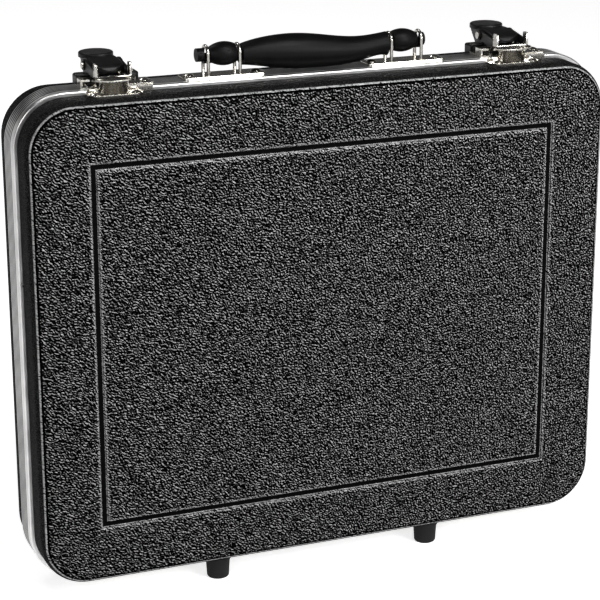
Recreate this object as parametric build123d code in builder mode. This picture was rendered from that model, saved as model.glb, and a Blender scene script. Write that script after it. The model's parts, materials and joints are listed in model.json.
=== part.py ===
"""Hard-shell harmonica case: two moulded shells in aluminium edge extrusions, hinged along the
bottom, with a carrying handle and two draw latches on top and a foam tray for harmonicas inside.

Millimetres. +Z is up with the case standing on its feet, +X to the right and -Y out of the lid's
face. The origin lies on the ground under the middle of the case."""

from build123d import *
import math
import os

os.makedirs("parts", exist_ok=True)

# Overall size of the case, across the aluminium edge
case_width = 356.0
case_height = 286.0
corner_radius = 30.0

# Depths, from the lid's face backwards
lid_depth = 19.5  # shell in front of the lid's aluminium edge
lid_edge_width = 3.5
base_edge_width = 16.3
base_depth = 22.5  # shell behind the base's aluminium edge
parting_gap = 0.2

# Moulded shells
wall = 2.5
shell_inset = 2.5  # shell's outside lies this far inside the aluminium edge
face_fillet = 6.5
panel_width = 281.6  # rectangle drawn by the groove on each face
panel_height = 213.3
groove_width = 4.0
groove_depth = 1.3

# Aluminium edge extrusions
bond_gap = 0.1  # adhesive between shell and extrusion
web = 1.0
edge_flange = 1.4  # thickness of the flange inside the shell
lid_flange_depth = 6.5
base_flange_depth = 11.0
tongue_thickness = 1.2
tongue_reach = 2.5  # base tongue standing into the lid's edge
tongue_gap = 0.2
tongue_root = 2.8  # thick part behind the web that carries the tongue
rib_count = 5
rib_groove_width = 0.9
rib_groove_depth = 0.4
edge_round = 0.8
edge_bevel = 0.3
lip_round = 0.24

# Feet
foot_height = 13.0
foot_radius = 7.2
foot_taper = 0.7
foot_round = 1.2
foot_flange_radius = 7.7
foot_flange_height = 1.6
foot_from_end = 110.4  # foot's axis inwards of the end of the case
foot_from_face = 11.6
foot_recess_radius = 3.4
foot_recess_depth = 6.0

# Fasteners
rivet_shank = 1.6
rivet_head = 3.0
rivet_head_height = 1.3
rivet_tail = 2.5
rivet_tail_height = 0.9
rivet_clearance = 0.05
rivet_margin = 0.8  # from a head to the end of the plate it holds
drill_reach = 10.0  # how far a drilled hole runs each way from the wall it is for
screw_shank = 1.5
screw_head = 2.7
screw_head_height = 1.6
screw_head_round = 0.6
screw_slot = 0.7  # width and depth

# Hinges
hinge_from_end = 63.0  # hinge's middle inwards of the end of the case
hinge_length = 50.0
hinge_leaf = 1.2
hinge_leaf_width = 10.0
knuckle_radius = 2.5
knuckle_count = 5
knuckle_gap = 0.3
hinge_pin_radius = 1.2
hinge_pin_clearance = 0.05
hinge_pin_lip = 0.6  # reach of the pin's upset ends
hinge_drop = 2.7  # axis below the aluminium edge
hinge_rivet_spacing = 34.0
leaf_edge_gap = 0.2

# Handle
handle_offset = 1.8  # handle's middle to the right of the middle of the case
plate_length = 49.0
plate_width = 14.0
plate_thickness = 1.5
plate_corner = 2.5
plate_edge_round = 0.6
plate_spacing = 111.2
plate_rivet_spacing = 40.0
loop_wire = 1.0  # radius of the wire
loop_half_width = 4.6
loop_height = 17.4  # wire's centre line over the aluminium edge
loop_inner_x = 46.4
loop_outer_x = 65.2
neck_radius = 3.0
neck_height = 10.6
neck_side_gap = 0.7
barrel_inner_radius = 5.4
barrel_radius = 6.7
barrel_outer_radius = 4.0
barrel_swell = 5.0  # widest place from the barrel's inner end
barrel_height = 12.6
knob_radius = 3.8
left_knob_length = 4.0
right_knob_length = 1.2
grip_end_width = 13.0
grip_end_bottom = 5.4
grip_end_top = 17.2
grip_middle_sections = [  # x, width, underside and top over the aluminium edge
    (-33.5, 15.6, 3.9, 19.8),
    (-20.0, 17.8, 1.7, 21.1),
    (-5.0, 18.5, 0.6, 20.6),
    (10.0, 17.4, 0.6, 18.5),
    (22.0, 16.0, 1.5, 17.0),
    (33.0, 14.6, 3.7, 16.9),
]
grip_right_bottom = 4.4
grip_right_top = 18.2

# Latches
latch_from_end = 57.0  # latch's middle inwards of the end of the case
latch_plate_offset = 4.0  # plate, upstand and block sit this far to the right of the lever
latch_plate_width = 42.0
latch_plate_length = 15.6
latch_plate = 1.2
latch_plate_gap = 0.3
bracket_width = 5.2
bracket_length = 7.0
bracket_height = 5.2
cheek_offset = 5.6
cheek_thickness = 1.2
cheek_round = 3.0
cheek_leg_front = 3.4  # the cheek's foot starts this far behind the pivot, behind the nose's sweep
cheek_lean = 70.0  # degrees below level at which the foot leaves the round
pivot_from_edge = 6.8  # lever pivot behind the parting line
pivot_height = 8.0
latch_pin_radius = 1.2
latch_pin_clearance = 0.05
hook_pin_back = 10.0  # hook pivot behind and above the lever pivot
hook_pin_up = 2.2
lever_half_width = 8.6
lever_side = 1.4
lever_straight = 13.0  # how far behind the pivot the lever keeps its full width
lever_tail_half_width = 7.6
lever_tail = 26.5  # end of the lever's body behind the pivot, under the thumb pad
lever_nose = 6.4  # reach of the rounded nose in front of the pivot
lever_nose_corner = 3.4
lever_crown = 1.2  # rounding along the lever's shoulders
lever_top = [  # lever's back from the nose to the tail, from the pivot
    (-6.4, 0.9),
    (-5.2, 3.0),
    (-2.5, 4.5),
    (2.0, 5.4),
    (10.0, 5.9),
    (26.5, 5.2),
]
lever_under = [  # front part of the lever's underside, from the sole to the nose
    (8.0, -1.8),
    (2.2, -3.0),
    (-1.8, -3.0),
    (-3.6, -1.8),
    (-6.0, -0.6),
]
lever_hollow = [
    (-9.0, -6.0),
    (-9.0, -0.6),
    (-4.2, 0.4),
    (-3.4, 2.6),
    (-1.2, 3.9),
    (3.0, 4.1),
    (10.0, 4.4),
    (12.4, 4.4),
    (12.4, -6.0),
]
sole_front = 13.5
sole_back = 19.0
tail_rise = 3.0
thumb_pad_middle = 21.5
thumb_pad_radius = 9.8
thumb_pad_bottom = 4.4
thumb_pad_top = 7.2
thumb_pad_round = 1.0
arm_gap = 0.5
arm_thickness = 1.2
eye_radius = 3.2
washer_thickness = 0.6
washer_radius = 3.0
pin_head_radius = 2.1
pin_head_height = 0.7
pin_head_gap = 0.1
pin_end_gap = 0.2  # lever pin short of the hook's arms
drum_radius = 6.0
drum_wall = 1.2
drum_disc_half_width = 9.0
drum_disc_reach = 7.4
drum_disc = 1.2
drum_top = 5.2  # underside of the disc over the aluminium edge
hook_bar_top = 7.6  # bar between the arms, over the aluminium edge
arm_top = 10.6  # front end of the arms, over the aluminium edge
arm_bottom = 6.6
hook_post_top = 14.4  # posts at the front ends of the arms, over the aluminium edge
hook_post_depth = 4.6
hook_post_round = 0.8
keeper_gap = 0.3  # between the drum and the keeper inside it
keeper_wall = 1.2
keeper_height = 3.7
catch_width = 31.0
catch_plate = 1.0
catch_from_face = 9.6
catch_corner = 5.0
upstand_width = 37.0
upstand = 1.1
upstand_corner = 0.6
upstand_rise = 0.9  # over the top of the aluminium edge
block_half_width = 18.0
block_from_edge = 1.5
block_length = 12.5
block_top = 3.8  # over the aluminium edge
block_recess = 1.7
screw_head_gap = 0.3
block_corner = 3.0
block_edge_round = 1.0
lever_rest_gap = 0.3

# Foam tray and lid pad
foam_clearance = 0.3
foam_below_edge = 3.3
foam_floor = 3.0
foam_border = 7.5
slot_columns = 3
slot_rows = 4
slot_height = 22.5
slot_divider = 6.5
column_divider = 6.3
lid_pad_thickness = 10.0
pad_from_wall = 4.5

# Levels and planes worked out from the sizes above
case_depth = lid_depth + lid_edge_width + parting_gap + base_edge_width + base_depth
lid_face = -case_depth / 2
base_face = case_depth / 2
lid_edge_front = lid_face + lid_depth
lid_edge_back = lid_edge_front + lid_edge_width
base_edge_front = lid_edge_back + parting_gap
base_edge_back = base_edge_front + base_edge_width
parting = (lid_edge_back + base_edge_front) / 2
edge_bottom = foot_height - shell_inset
edge_top = edge_bottom + case_height
middle = (edge_bottom + edge_top) / 2
shell_bottom = edge_bottom + shell_inset
shell_top = edge_top - shell_inset
shell_width = case_width - 2 * shell_inset
shell_height = case_height - 2 * shell_inset
flange_outer = shell_inset + wall + bond_gap
flange_inner = flange_outer + edge_flange
tongue_outer = flange_inner + tongue_gap
tongue_inner = tongue_outer + tongue_thickness


def save(piece, name):
    """Labels a finished piece and writes it to its own file."""
    piece.part.label = name
    export_step(piece.part, f"parts/{name}.step")


def front_plane(y):
    """Plane across the case at depth y, with its normal towards the back and X to the right."""
    return Plane(origin=(0, y, middle), x_dir=(-1, 0, 0), z_dir=(0, 1, 0))


def side_plane(x):
    """Plane square to X, drawn in Y and Z."""
    return Plane.YZ.offset(x)


# Places along the case
rivet_band_y = (base_edge_front + base_edge_back) / 2
plate_xs = (handle_offset - plate_spacing / 2, handle_offset + plate_spacing / 2)
latch_xs = (latch_from_end - case_width / 2, case_width / 2 - latch_from_end)
latch_plate_xs = [latch_x + latch_plate_offset for latch_x in latch_xs]
hinge_xs = (hinge_from_end - case_width / 2, case_width / 2 - hinge_from_end)
foot_xs = (foot_from_end - case_width / 2, case_width / 2 - foot_from_end)
lid_foot_y = lid_face + foot_from_face
base_foot_y = base_face - foot_from_face
lid_leaf_back = lid_edge_front - leaf_edge_gap
lid_leaf_y = lid_leaf_back - hinge_leaf / 2 - hinge_leaf_width / 2
base_leaf_y = base_edge_front + knuckle_radius + knuckle_gap + hinge_leaf_width / 2
catch_rivet_y = lid_face + catch_from_face + rivet_head + rivet_margin
latch_rivet_x = latch_plate_width / 2 - rivet_head - rivet_margin
block_front = base_edge_back + block_from_edge
block_screw_x = block_half_width - screw_head - rivet_margin
block_screw_y = block_front + block_length / 2

# Where each family of fasteners goes through the shells
handle_rivet_spots = [
    (plate_x + side * plate_rivet_spacing / 2, rivet_band_y)
    for plate_x in plate_xs
    for side in (-1, 1)
]
latch_rivet_spots = [
    (plate_x + side * latch_rivet_x, rivet_band_y) for plate_x in latch_plate_xs for side in (-1, 1)
]
catch_rivet_spots = [
    (latch_x + side * (catch_width / 2 - rivet_head - rivet_margin), catch_rivet_y)
    for latch_x in latch_xs
    for side in (-1, 1)
]
base_hinge_spots = [
    (hinge_x + side * hinge_rivet_spacing / 2, base_leaf_y)
    for hinge_x in hinge_xs
    for side in (-1, 1)
]
lid_hinge_spots = [
    (hinge_x + side * hinge_rivet_spacing / 2, lid_leaf_y)
    for hinge_x in hinge_xs
    for side in (-1, 1)
]
block_screw_spots = [
    (plate_x + side * block_screw_x, block_screw_y) for plate_x in latch_plate_xs for side in (-1, 1)
]
lid_foot_spots = [(x, lid_foot_y) for x in foot_xs]
base_foot_spots = [(x, base_foot_y) for x in foot_xs]


# ---------------------------------------------------------------- shells
def drill(spots, z, radius):
    """Cuts round upright holes through the wall at height z."""
    with BuildSketch(Plane.XY.offset(z - drill_reach)) as holes:
        with Locations(*spots):
            Circle(radius)
    extrude(holes.sketch, amount=2 * drill_reach, mode=Mode.SUBTRACT)


def shell_tray(face_y, rim_y):
    """One moulded half: a rounded tray with a filleted face and the panel groove."""
    inward = 1 if rim_y > face_y else -1
    with BuildPart() as tray:
        with BuildSketch(front_plane(face_y)):
            RectangleRounded(shell_width, shell_height, corner_radius - shell_inset)
        extrude(amount=rim_y - face_y)
        fillet(tray.faces().sort_by(Axis.Y)[0 if inward > 0 else -1].edges(), face_fillet)
        rim = tray.faces().sort_by(Axis.Y)[-1 if inward > 0 else 0]
        offset(amount=-wall, openings=rim)
        with BuildSketch(front_plane(face_y)):
            Rectangle(panel_width, panel_height)
            Rectangle(
                panel_width - 2 * groove_width, panel_height - 2 * groove_width, mode=Mode.SUBTRACT
            )
        extrude(amount=inward * groove_depth, mode=Mode.SUBTRACT)
    return tray


with BuildPart() as lid_shell:
    add(shell_tray(lid_face, lid_edge_back - web - bond_gap).part)
    drill(catch_rivet_spots, shell_top, rivet_shank + rivet_clearance)
    drill(lid_hinge_spots, shell_bottom, rivet_shank + rivet_clearance)
    drill(lid_foot_spots, shell_bottom, screw_shank + rivet_clearance)
save(lid_shell, "lid_shell")

with BuildPart() as base_shell:
    add(shell_tray(base_face, base_edge_front + web + bond_gap).part)
    drill(handle_rivet_spots + latch_rivet_spots, shell_top, rivet_shank + rivet_clearance)
    drill(block_screw_spots, shell_top, screw_shank + rivet_clearance)
    drill(base_hinge_spots, shell_bottom, rivet_shank + rivet_clearance)
    drill(base_foot_spots, shell_bottom, screw_shank + rivet_clearance)
save(base_shell, "base_shell")


# ---------------------------------------------------------------- aluminium edges
def edge_frame(section):
    """Sweeps a closed section of (distance inwards, y) points round the case."""
    with BuildSketch(front_plane(0), mode=Mode.PRIVATE) as outline:
        RectangleRounded(case_width, case_height, corner_radius)
    run = outline.sketch.faces()[0].outer_wire()
    start = run @ 0
    along = run % 0
    inwards = along.cross(Vector(0, 1, 0))
    if inwards.dot(Vector(0, 0, middle) - start) < 0:
        inwards = inwards * -1
    across = Plane(origin=start, x_dir=inwards, z_dir=inwards.cross(Vector(0, 1, 0)))
    with BuildPart() as frame:
        with BuildSketch(across):
            with BuildLine():
                Polyline(*section, close=True)
            make_face()
        sweep(path=run)
    return frame


lid_section = [
    (edge_round, lid_edge_front),
    (shell_inset - bond_gap, lid_edge_front),
    (shell_inset - bond_gap, lid_edge_back - web),
    (flange_outer, lid_edge_back - web),
    (flange_outer, lid_edge_back - lid_flange_depth),
    (flange_inner, lid_edge_back - lid_flange_depth),
    (flange_inner, lid_edge_back),
    (edge_bevel, lid_edge_back),
    (0, lid_edge_back - edge_bevel),
    (0, lid_edge_front + edge_round),
    (lip_round, lid_edge_front + lip_round),
]
base_section = [
    (0, base_edge_front + edge_bevel),
    (edge_bevel, base_edge_front),
    (tongue_outer, base_edge_front),
    (tongue_outer, base_edge_front - tongue_reach),
    (tongue_inner, base_edge_front - tongue_reach),
    (tongue_inner, base_edge_front + web + tongue_root),
    (flange_inner, base_edge_front + web + tongue_root),
    (flange_inner, base_edge_front + base_flange_depth),
    (flange_outer, base_edge_front + base_flange_depth),
    (flange_outer, base_edge_front + web),
    (shell_inset - bond_gap, base_edge_front + web),
    (shell_inset - bond_gap, base_edge_back),
    (edge_round, base_edge_back),
    (0, base_edge_back - edge_round),
]
rib_pitch = base_edge_width / (rib_count + 1)
for rib in range(rib_count):
    rib_y = base_edge_back - rib_pitch * (rib + 1)
    base_section += [
        (0, rib_y + rib_groove_width / 2),
        (rib_groove_depth, rib_y),
        (0, rib_y - rib_groove_width / 2),
    ]

with BuildPart() as lid_valance:
    add(edge_frame(lid_section).part)
save(lid_valance, "lid_valance")

with BuildPart() as base_valance:
    add(edge_frame(base_section).part)
    drill(handle_rivet_spots + latch_rivet_spots, edge_top, rivet_shank + rivet_clearance)
    drill(base_hinge_spots, edge_bottom, rivet_shank + rivet_clearance)
save(base_valance, "base_valance")


# ---------------------------------------------------------------- fasteners
def dome(radius, height):
    """Arc from the rim of a round head at (radius, 0) up to its crown at (0, height)."""
    ball = (radius**2 + height**2) / (2 * height)
    half = math.asin(radius / ball) / 2
    crown = (ball * math.sin(half), height - ball + ball * math.cos(half))
    return ThreePointArc((radius, 0), crown, (0, height))


def rivet(grip):
    """Domed rivet that holds a stack of thickness grip below its head at the origin."""
    with BuildPart() as fastener:
        with BuildSketch(Plane.XZ):
            with BuildLine():
                dome(rivet_head, rivet_head_height)
                Polyline(
                    (0, rivet_head_height),
                    (0, -grip - rivet_tail_height),
                    (rivet_tail, -grip - rivet_tail_height),
                    (rivet_tail, -grip),
                    (rivet_shank, -grip),
                    (rivet_shank, 0),
                    (rivet_head, 0),
                )
            make_face()
        revolve(axis=Axis.Z)
    return fastener.part


def slotted_screw(grip):
    """Slotted pan-head screw with its nut, clamping a stack of thickness grip."""
    with BuildPart() as fastener:
        with BuildSketch(Plane.XY.offset(-grip)):
            Circle(screw_shank)
        extrude(amount=grip)
        with BuildSketch(Plane.XY):
            Circle(screw_head)
        extrude(amount=screw_head_height)
        fillet(fastener.faces().sort_by(Axis.Z)[-1].edges(), screw_head_round)
        with BuildSketch(Plane.XY.offset(-grip - rivet_tail_height)):
            RegularPolygon(rivet_tail, 6)
        extrude(amount=rivet_tail_height)
        with BuildSketch(Plane.XY.offset(screw_head_height - screw_slot)):
            Rectangle(2 * screw_head, screw_slot)
        extrude(amount=screw_slot, mode=Mode.SUBTRACT)
    return fastener.part


def fastened(fastener, spots, z, upwards=True):
    """A group of equal fasteners with their heads seated at height z."""
    turn = (0, 0, 0) if upwards else (180, 0, 0)
    with BuildPart() as group:
        with Locations(*[Location((x, y, z), turn) for x, y in spots]):
            add(fastener)
    return group


foot_grip = foot_height - foot_recess_depth + wall
block_seat = edge_top + block_top - block_recess
handle_rivet = rivet(plate_thickness + flange_inner)
latch_rivet = rivet(latch_plate + flange_inner)
catch_rivet = rivet(catch_plate + wall)
base_hinge_rivet = rivet(hinge_leaf + flange_inner)
lid_hinge_rivet = rivet(hinge_leaf + wall)
foot_screw = slotted_screw(foot_grip)
block_screw = slotted_screw(block_seat - shell_top + wall)
lid_leaf_seat = shell_bottom - hinge_leaf
base_leaf_seat = edge_bottom - hinge_leaf
save(fastened(handle_rivet, handle_rivet_spots, edge_top + plate_thickness), "handle_rivets")
save(fastened(latch_rivet, latch_rivet_spots, edge_top + latch_plate), "latch_rivets")
save(fastened(catch_rivet, catch_rivet_spots, shell_top + catch_plate), "catch_rivets")
save(fastened(base_hinge_rivet, base_hinge_spots, base_leaf_seat, False), "base_hinge_rivets")
save(fastened(lid_hinge_rivet, lid_hinge_spots, lid_leaf_seat, False), "lid_hinge_rivets")
save(fastened(foot_screw, lid_foot_spots, foot_recess_depth, False), "lid_foot_screws")
save(fastened(foot_screw, base_foot_spots, foot_recess_depth, False), "base_foot_screws")
save(fastened(block_screw, block_screw_spots, block_seat), "block_screws")


# ---------------------------------------------------------------- feet
def foot():
    """Rubber foot, sole at z = 0, with a flange at the top and a recess for its screw."""
    with BuildPart() as stud:
        with BuildSketch(Plane.XZ):
            with BuildLine():
                Polyline(
                    (foot_recess_radius, 0),
                    (foot_radius - foot_taper, 0),
                    (foot_radius, foot_height - foot_flange_height),
                    (foot_flange_radius, foot_height - foot_flange_height),
                    (foot_flange_radius, foot_height),
                    (screw_shank + rivet_clearance, foot_height),
                    (screw_shank + rivet_clearance, foot_recess_depth),
                    (foot_recess_radius, foot_recess_depth),
                    close=True,
                )
            make_face()
        revolve(axis=Axis.Z)
        sole = stud.edges().filter_by(GeomType.CIRCLE).group_by(Axis.Z)[0].sort_by(SortBy.LENGTH)
        fillet(sole[-1], foot_round)
    return stud.part


for name, spots in (("lid_feet", lid_foot_spots), ("base_feet", base_foot_spots)):
    with BuildPart() as feet:
        with Locations(*spots):
            add(foot())
    save(feet, name)


# ---------------------------------------------------------------- hinges
hinge_z = edge_bottom - hinge_drop
knuckle_pitch = hinge_length / knuckle_count
leaf_start = knuckle_radius + knuckle_gap


def hinge_leaf_plate(hinge_x, outline, knuckles, spots, leaf_side):
    """One hinge leaf: a bent plate with its share of the knuckles and its rivet holes."""
    start_x = hinge_x - hinge_length / 2
    with BuildPart() as leaf:
        with BuildSketch(side_plane(start_x)) as side:
            with BuildLine():
                Polyline(*outline, close=True)
            make_face()
        extrude(side.sketch, amount=hinge_length)
        for knuckle in knuckles:
            knuckle_x = start_x + knuckle * knuckle_pitch + knuckle_gap / 2
            with BuildSketch(side_plane(knuckle_x)) as curl:
                with Locations((parting, hinge_z)):
                    Circle(knuckle_radius)
                with Locations((parting + leaf_side * leaf_start / 2, edge_bottom - hinge_leaf / 2)):
                    Rectangle(leaf_start, hinge_leaf)
                with Locations((parting, hinge_z)):
                    Circle(hinge_pin_radius + hinge_pin_clearance, mode=Mode.SUBTRACT)
            extrude(curl.sketch, amount=knuckle_pitch - knuckle_gap)
        near = [(x, y) for x, y in spots if abs(x - hinge_x) < hinge_length / 2]
        drill(near, edge_bottom, rivet_shank + rivet_clearance)
    return leaf


base_leaf_outline = [
    (parting + leaf_start, edge_bottom),
    (parting + leaf_start + hinge_leaf_width, edge_bottom),
    (parting + leaf_start + hinge_leaf_width, edge_bottom - hinge_leaf),
    (parting + leaf_start, edge_bottom - hinge_leaf),
]
lid_leaf_outline = [
    (parting - leaf_start, edge_bottom),
    (parting - leaf_start, edge_bottom - hinge_leaf),
    (lid_leaf_back - hinge_leaf, edge_bottom - hinge_leaf),
    (lid_leaf_back - hinge_leaf, shell_bottom - hinge_leaf),
    (lid_leaf_back - hinge_leaf_width, shell_bottom - hinge_leaf),
    (lid_leaf_back - hinge_leaf_width, shell_bottom),
    (lid_leaf_back, shell_bottom),
    (lid_leaf_back, edge_bottom),
]
for side_name, hinge_x in zip(("left", "right"), hinge_xs):
    base_knuckles = range(0, knuckle_count, 2)
    lid_knuckles = range(1, knuckle_count, 2)
    leaf = hinge_leaf_plate(hinge_x, base_leaf_outline, base_knuckles, base_hinge_spots, 1)
    save(leaf, f"base_hinge_leaf_{side_name}")
    leaf = hinge_leaf_plate(hinge_x, lid_leaf_outline, lid_knuckles, lid_hinge_spots, -1)
    save(leaf, f"lid_hinge_leaf_{side_name}")
    with BuildPart() as hinge_pin:
        with BuildSketch(side_plane(hinge_x - hinge_length / 2)):
            with Locations((parting, hinge_z)):
                Circle(hinge_pin_radius)
        extrude(amount=hinge_length)
        for end_x, amount in ((hinge_x + hinge_length / 2, 1), (hinge_x - hinge_length / 2, -1)):
            with BuildSketch(side_plane(end_x)):
                with Locations((parting, hinge_z)):
                    Circle(hinge_pin_radius + hinge_pin_lip)
            extrude(amount=amount * pin_head_height)
    save(hinge_pin, f"hinge_pin_{side_name}")


# ---------------------------------------------------------------- handle
neck_half_length = loop_wire + neck_side_gap
for side_name, plate_x, turn in zip(("left", "right"), plate_xs, (-1, 1)):
    with BuildPart() as plate:
        with BuildSketch(Plane.XY.offset(edge_top)):
            with Locations((plate_x, rivet_band_y)):
                RectangleRounded(plate_length, plate_width, plate_corner)
        extrude(amount=plate_thickness)
        fillet(plate.faces().sort_by(Axis.Z)[-1].edges(), plate_edge_round)
        near = [(x, y) for x, y in handle_rivet_spots if abs(x - plate_x) < plate_length / 2]
        drill(near, edge_top, rivet_shank + rivet_clearance)
        legs = [
            (handle_offset + turn * loop_x, rivet_band_y + leg * loop_half_width)
            for loop_x in (loop_inner_x, loop_outer_x)
            for leg in (-1, 1)
        ]
        drill(legs, edge_top, loop_wire + rivet_clearance)
    save(plate, f"handle_plate_{side_name}")

with BuildPart() as handle_loops:
    for loop_place in (-loop_outer_x, -loop_inner_x, loop_inner_x, loop_outer_x):
        loop_x = handle_offset + loop_place
        shoulder = edge_top + loop_height - loop_half_width
        front_leg = rivet_band_y - loop_half_width
        back_leg = rivet_band_y + loop_half_width
        with BuildLine() as bend:
            Line((loop_x, front_leg, edge_top), (loop_x, front_leg, shoulder))
            ThreePointArc(
                (loop_x, front_leg, shoulder),
                (loop_x, rivet_band_y, shoulder + loop_half_width),
                (loop_x, back_leg, shoulder),
            )
            Line((loop_x, back_leg, shoulder), (loop_x, back_leg, edge_top))
        with BuildSketch(Plane.XY.offset(edge_top)):
            with Locations((loop_x, front_leg)):
                Circle(loop_wire)
        sweep(path=bend.wires()[0])
save(handle_loops, "handle_loops")

grip_end = loop_inner_x - neck_half_length
grip_sections = [
    (-grip_end, grip_end_width, grip_end_bottom, grip_end_top),
    *grip_middle_sections,
    (grip_end, grip_end_width, grip_right_bottom, grip_right_top),
]
barrel_z = edge_top + barrel_height
with BuildPart() as handle_grip:
    for section_x, width, underside, top in grip_sections:
        with BuildSketch(side_plane(handle_offset + section_x)):
            with Locations((rivet_band_y, edge_top + (underside + top) / 2)):
                Ellipse(width / 2, (top - underside) / 2)
    loft()
    core_length = 2 * (loop_outer_x + neck_half_length)
    with BuildSketch(side_plane(handle_offset - core_length / 2)):
        with Locations((rivet_band_y, edge_top + neck_height)):
            Circle(neck_radius)
    extrude(amount=core_length)
    barrel_axis = Axis((0, rivet_band_y, barrel_z), (1, 0, 0))
    for turn, knob_length in ((-1, left_knob_length), (1, right_knob_length)):
        inner = handle_offset + turn * (loop_inner_x + neck_half_length)
        outer = handle_offset + turn * (loop_outer_x - neck_half_length)
        with BuildSketch(Plane((0, rivet_band_y, barrel_z), (1, 0, 0), (0, -1, 0))):
            with BuildLine():
                Spline(
                    (inner, barrel_inner_radius),
                    (inner + turn * barrel_swell, barrel_radius),
                    (outer, barrel_outer_radius),
                )
                Polyline(
                    (outer, barrel_outer_radius), (outer, 0), (inner, 0), (inner, barrel_inner_radius)
                )
            make_face()
        revolve(axis=barrel_axis)
        with BuildSketch(side_plane(handle_offset + turn * (loop_outer_x + neck_half_length))):
            with Locations((rivet_band_y, barrel_z)):
                Circle(knob_radius)
        extrude(amount=turn * knob_length)
save(handle_grip, "handle_grip")


# ---------------------------------------------------------------- latches
pivot_y = base_edge_front + pivot_from_edge
pivot_z = edge_top + pivot_height
hook_pin_y = pivot_y + hook_pin_back
hook_pin_z = pivot_z + hook_pin_up
drum_y = lid_edge_front - rivet_clearance - upstand - keeper_gap
arm_offset = lever_half_width + arm_gap
plate_front = base_edge_front + latch_plate_gap
plate_top = edge_top + latch_plate
block_top_z = edge_top + block_top
lever_sole = block_top_z + lever_rest_gap

cheek_lean_angle = math.radians(cheek_lean)
cheek_outline = [
    (pivot_y + cheek_leg_front, plate_top),
    (plate_front + latch_plate_length, plate_top),
    (pivot_y + cheek_round, pivot_z),
    (pivot_y + cheek_round * math.cos(cheek_lean_angle), pivot_z - cheek_round * math.sin(cheek_lean_angle)),
]
post_back = drum_y - drum_wall + hook_post_depth
arm_outline = [
    (hook_pin_y, hook_pin_z + eye_radius),
    (post_back, edge_top + arm_top),
    (post_back, edge_top + hook_post_top - hook_post_round),
    (post_back - hook_post_round, edge_top + hook_post_top),
    (drum_y - drum_wall + hook_post_round, edge_top + hook_post_top),
    (drum_y - drum_wall, edge_top + hook_post_top - hook_post_round),
    (drum_y - drum_wall, edge_top + arm_bottom),
    (post_back, edge_top + arm_bottom),
    (hook_pin_y, hook_pin_z - eye_radius),
]


def cross_pin(latch_x, y, z, half_length):
    """Round pin across a latch with a low head at each end."""
    with BuildPart() as pin:
        with BuildSketch(side_plane(latch_x - half_length)):
            with Locations((y, z)):
                Circle(latch_pin_radius)
        extrude(amount=2 * half_length)
    return pin


def from_pivot(points):
    """Moves side-view points that are given from the lever's pivot to their place on the case."""
    return [(pivot_y + y, pivot_z + z) for y, z in points]


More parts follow.
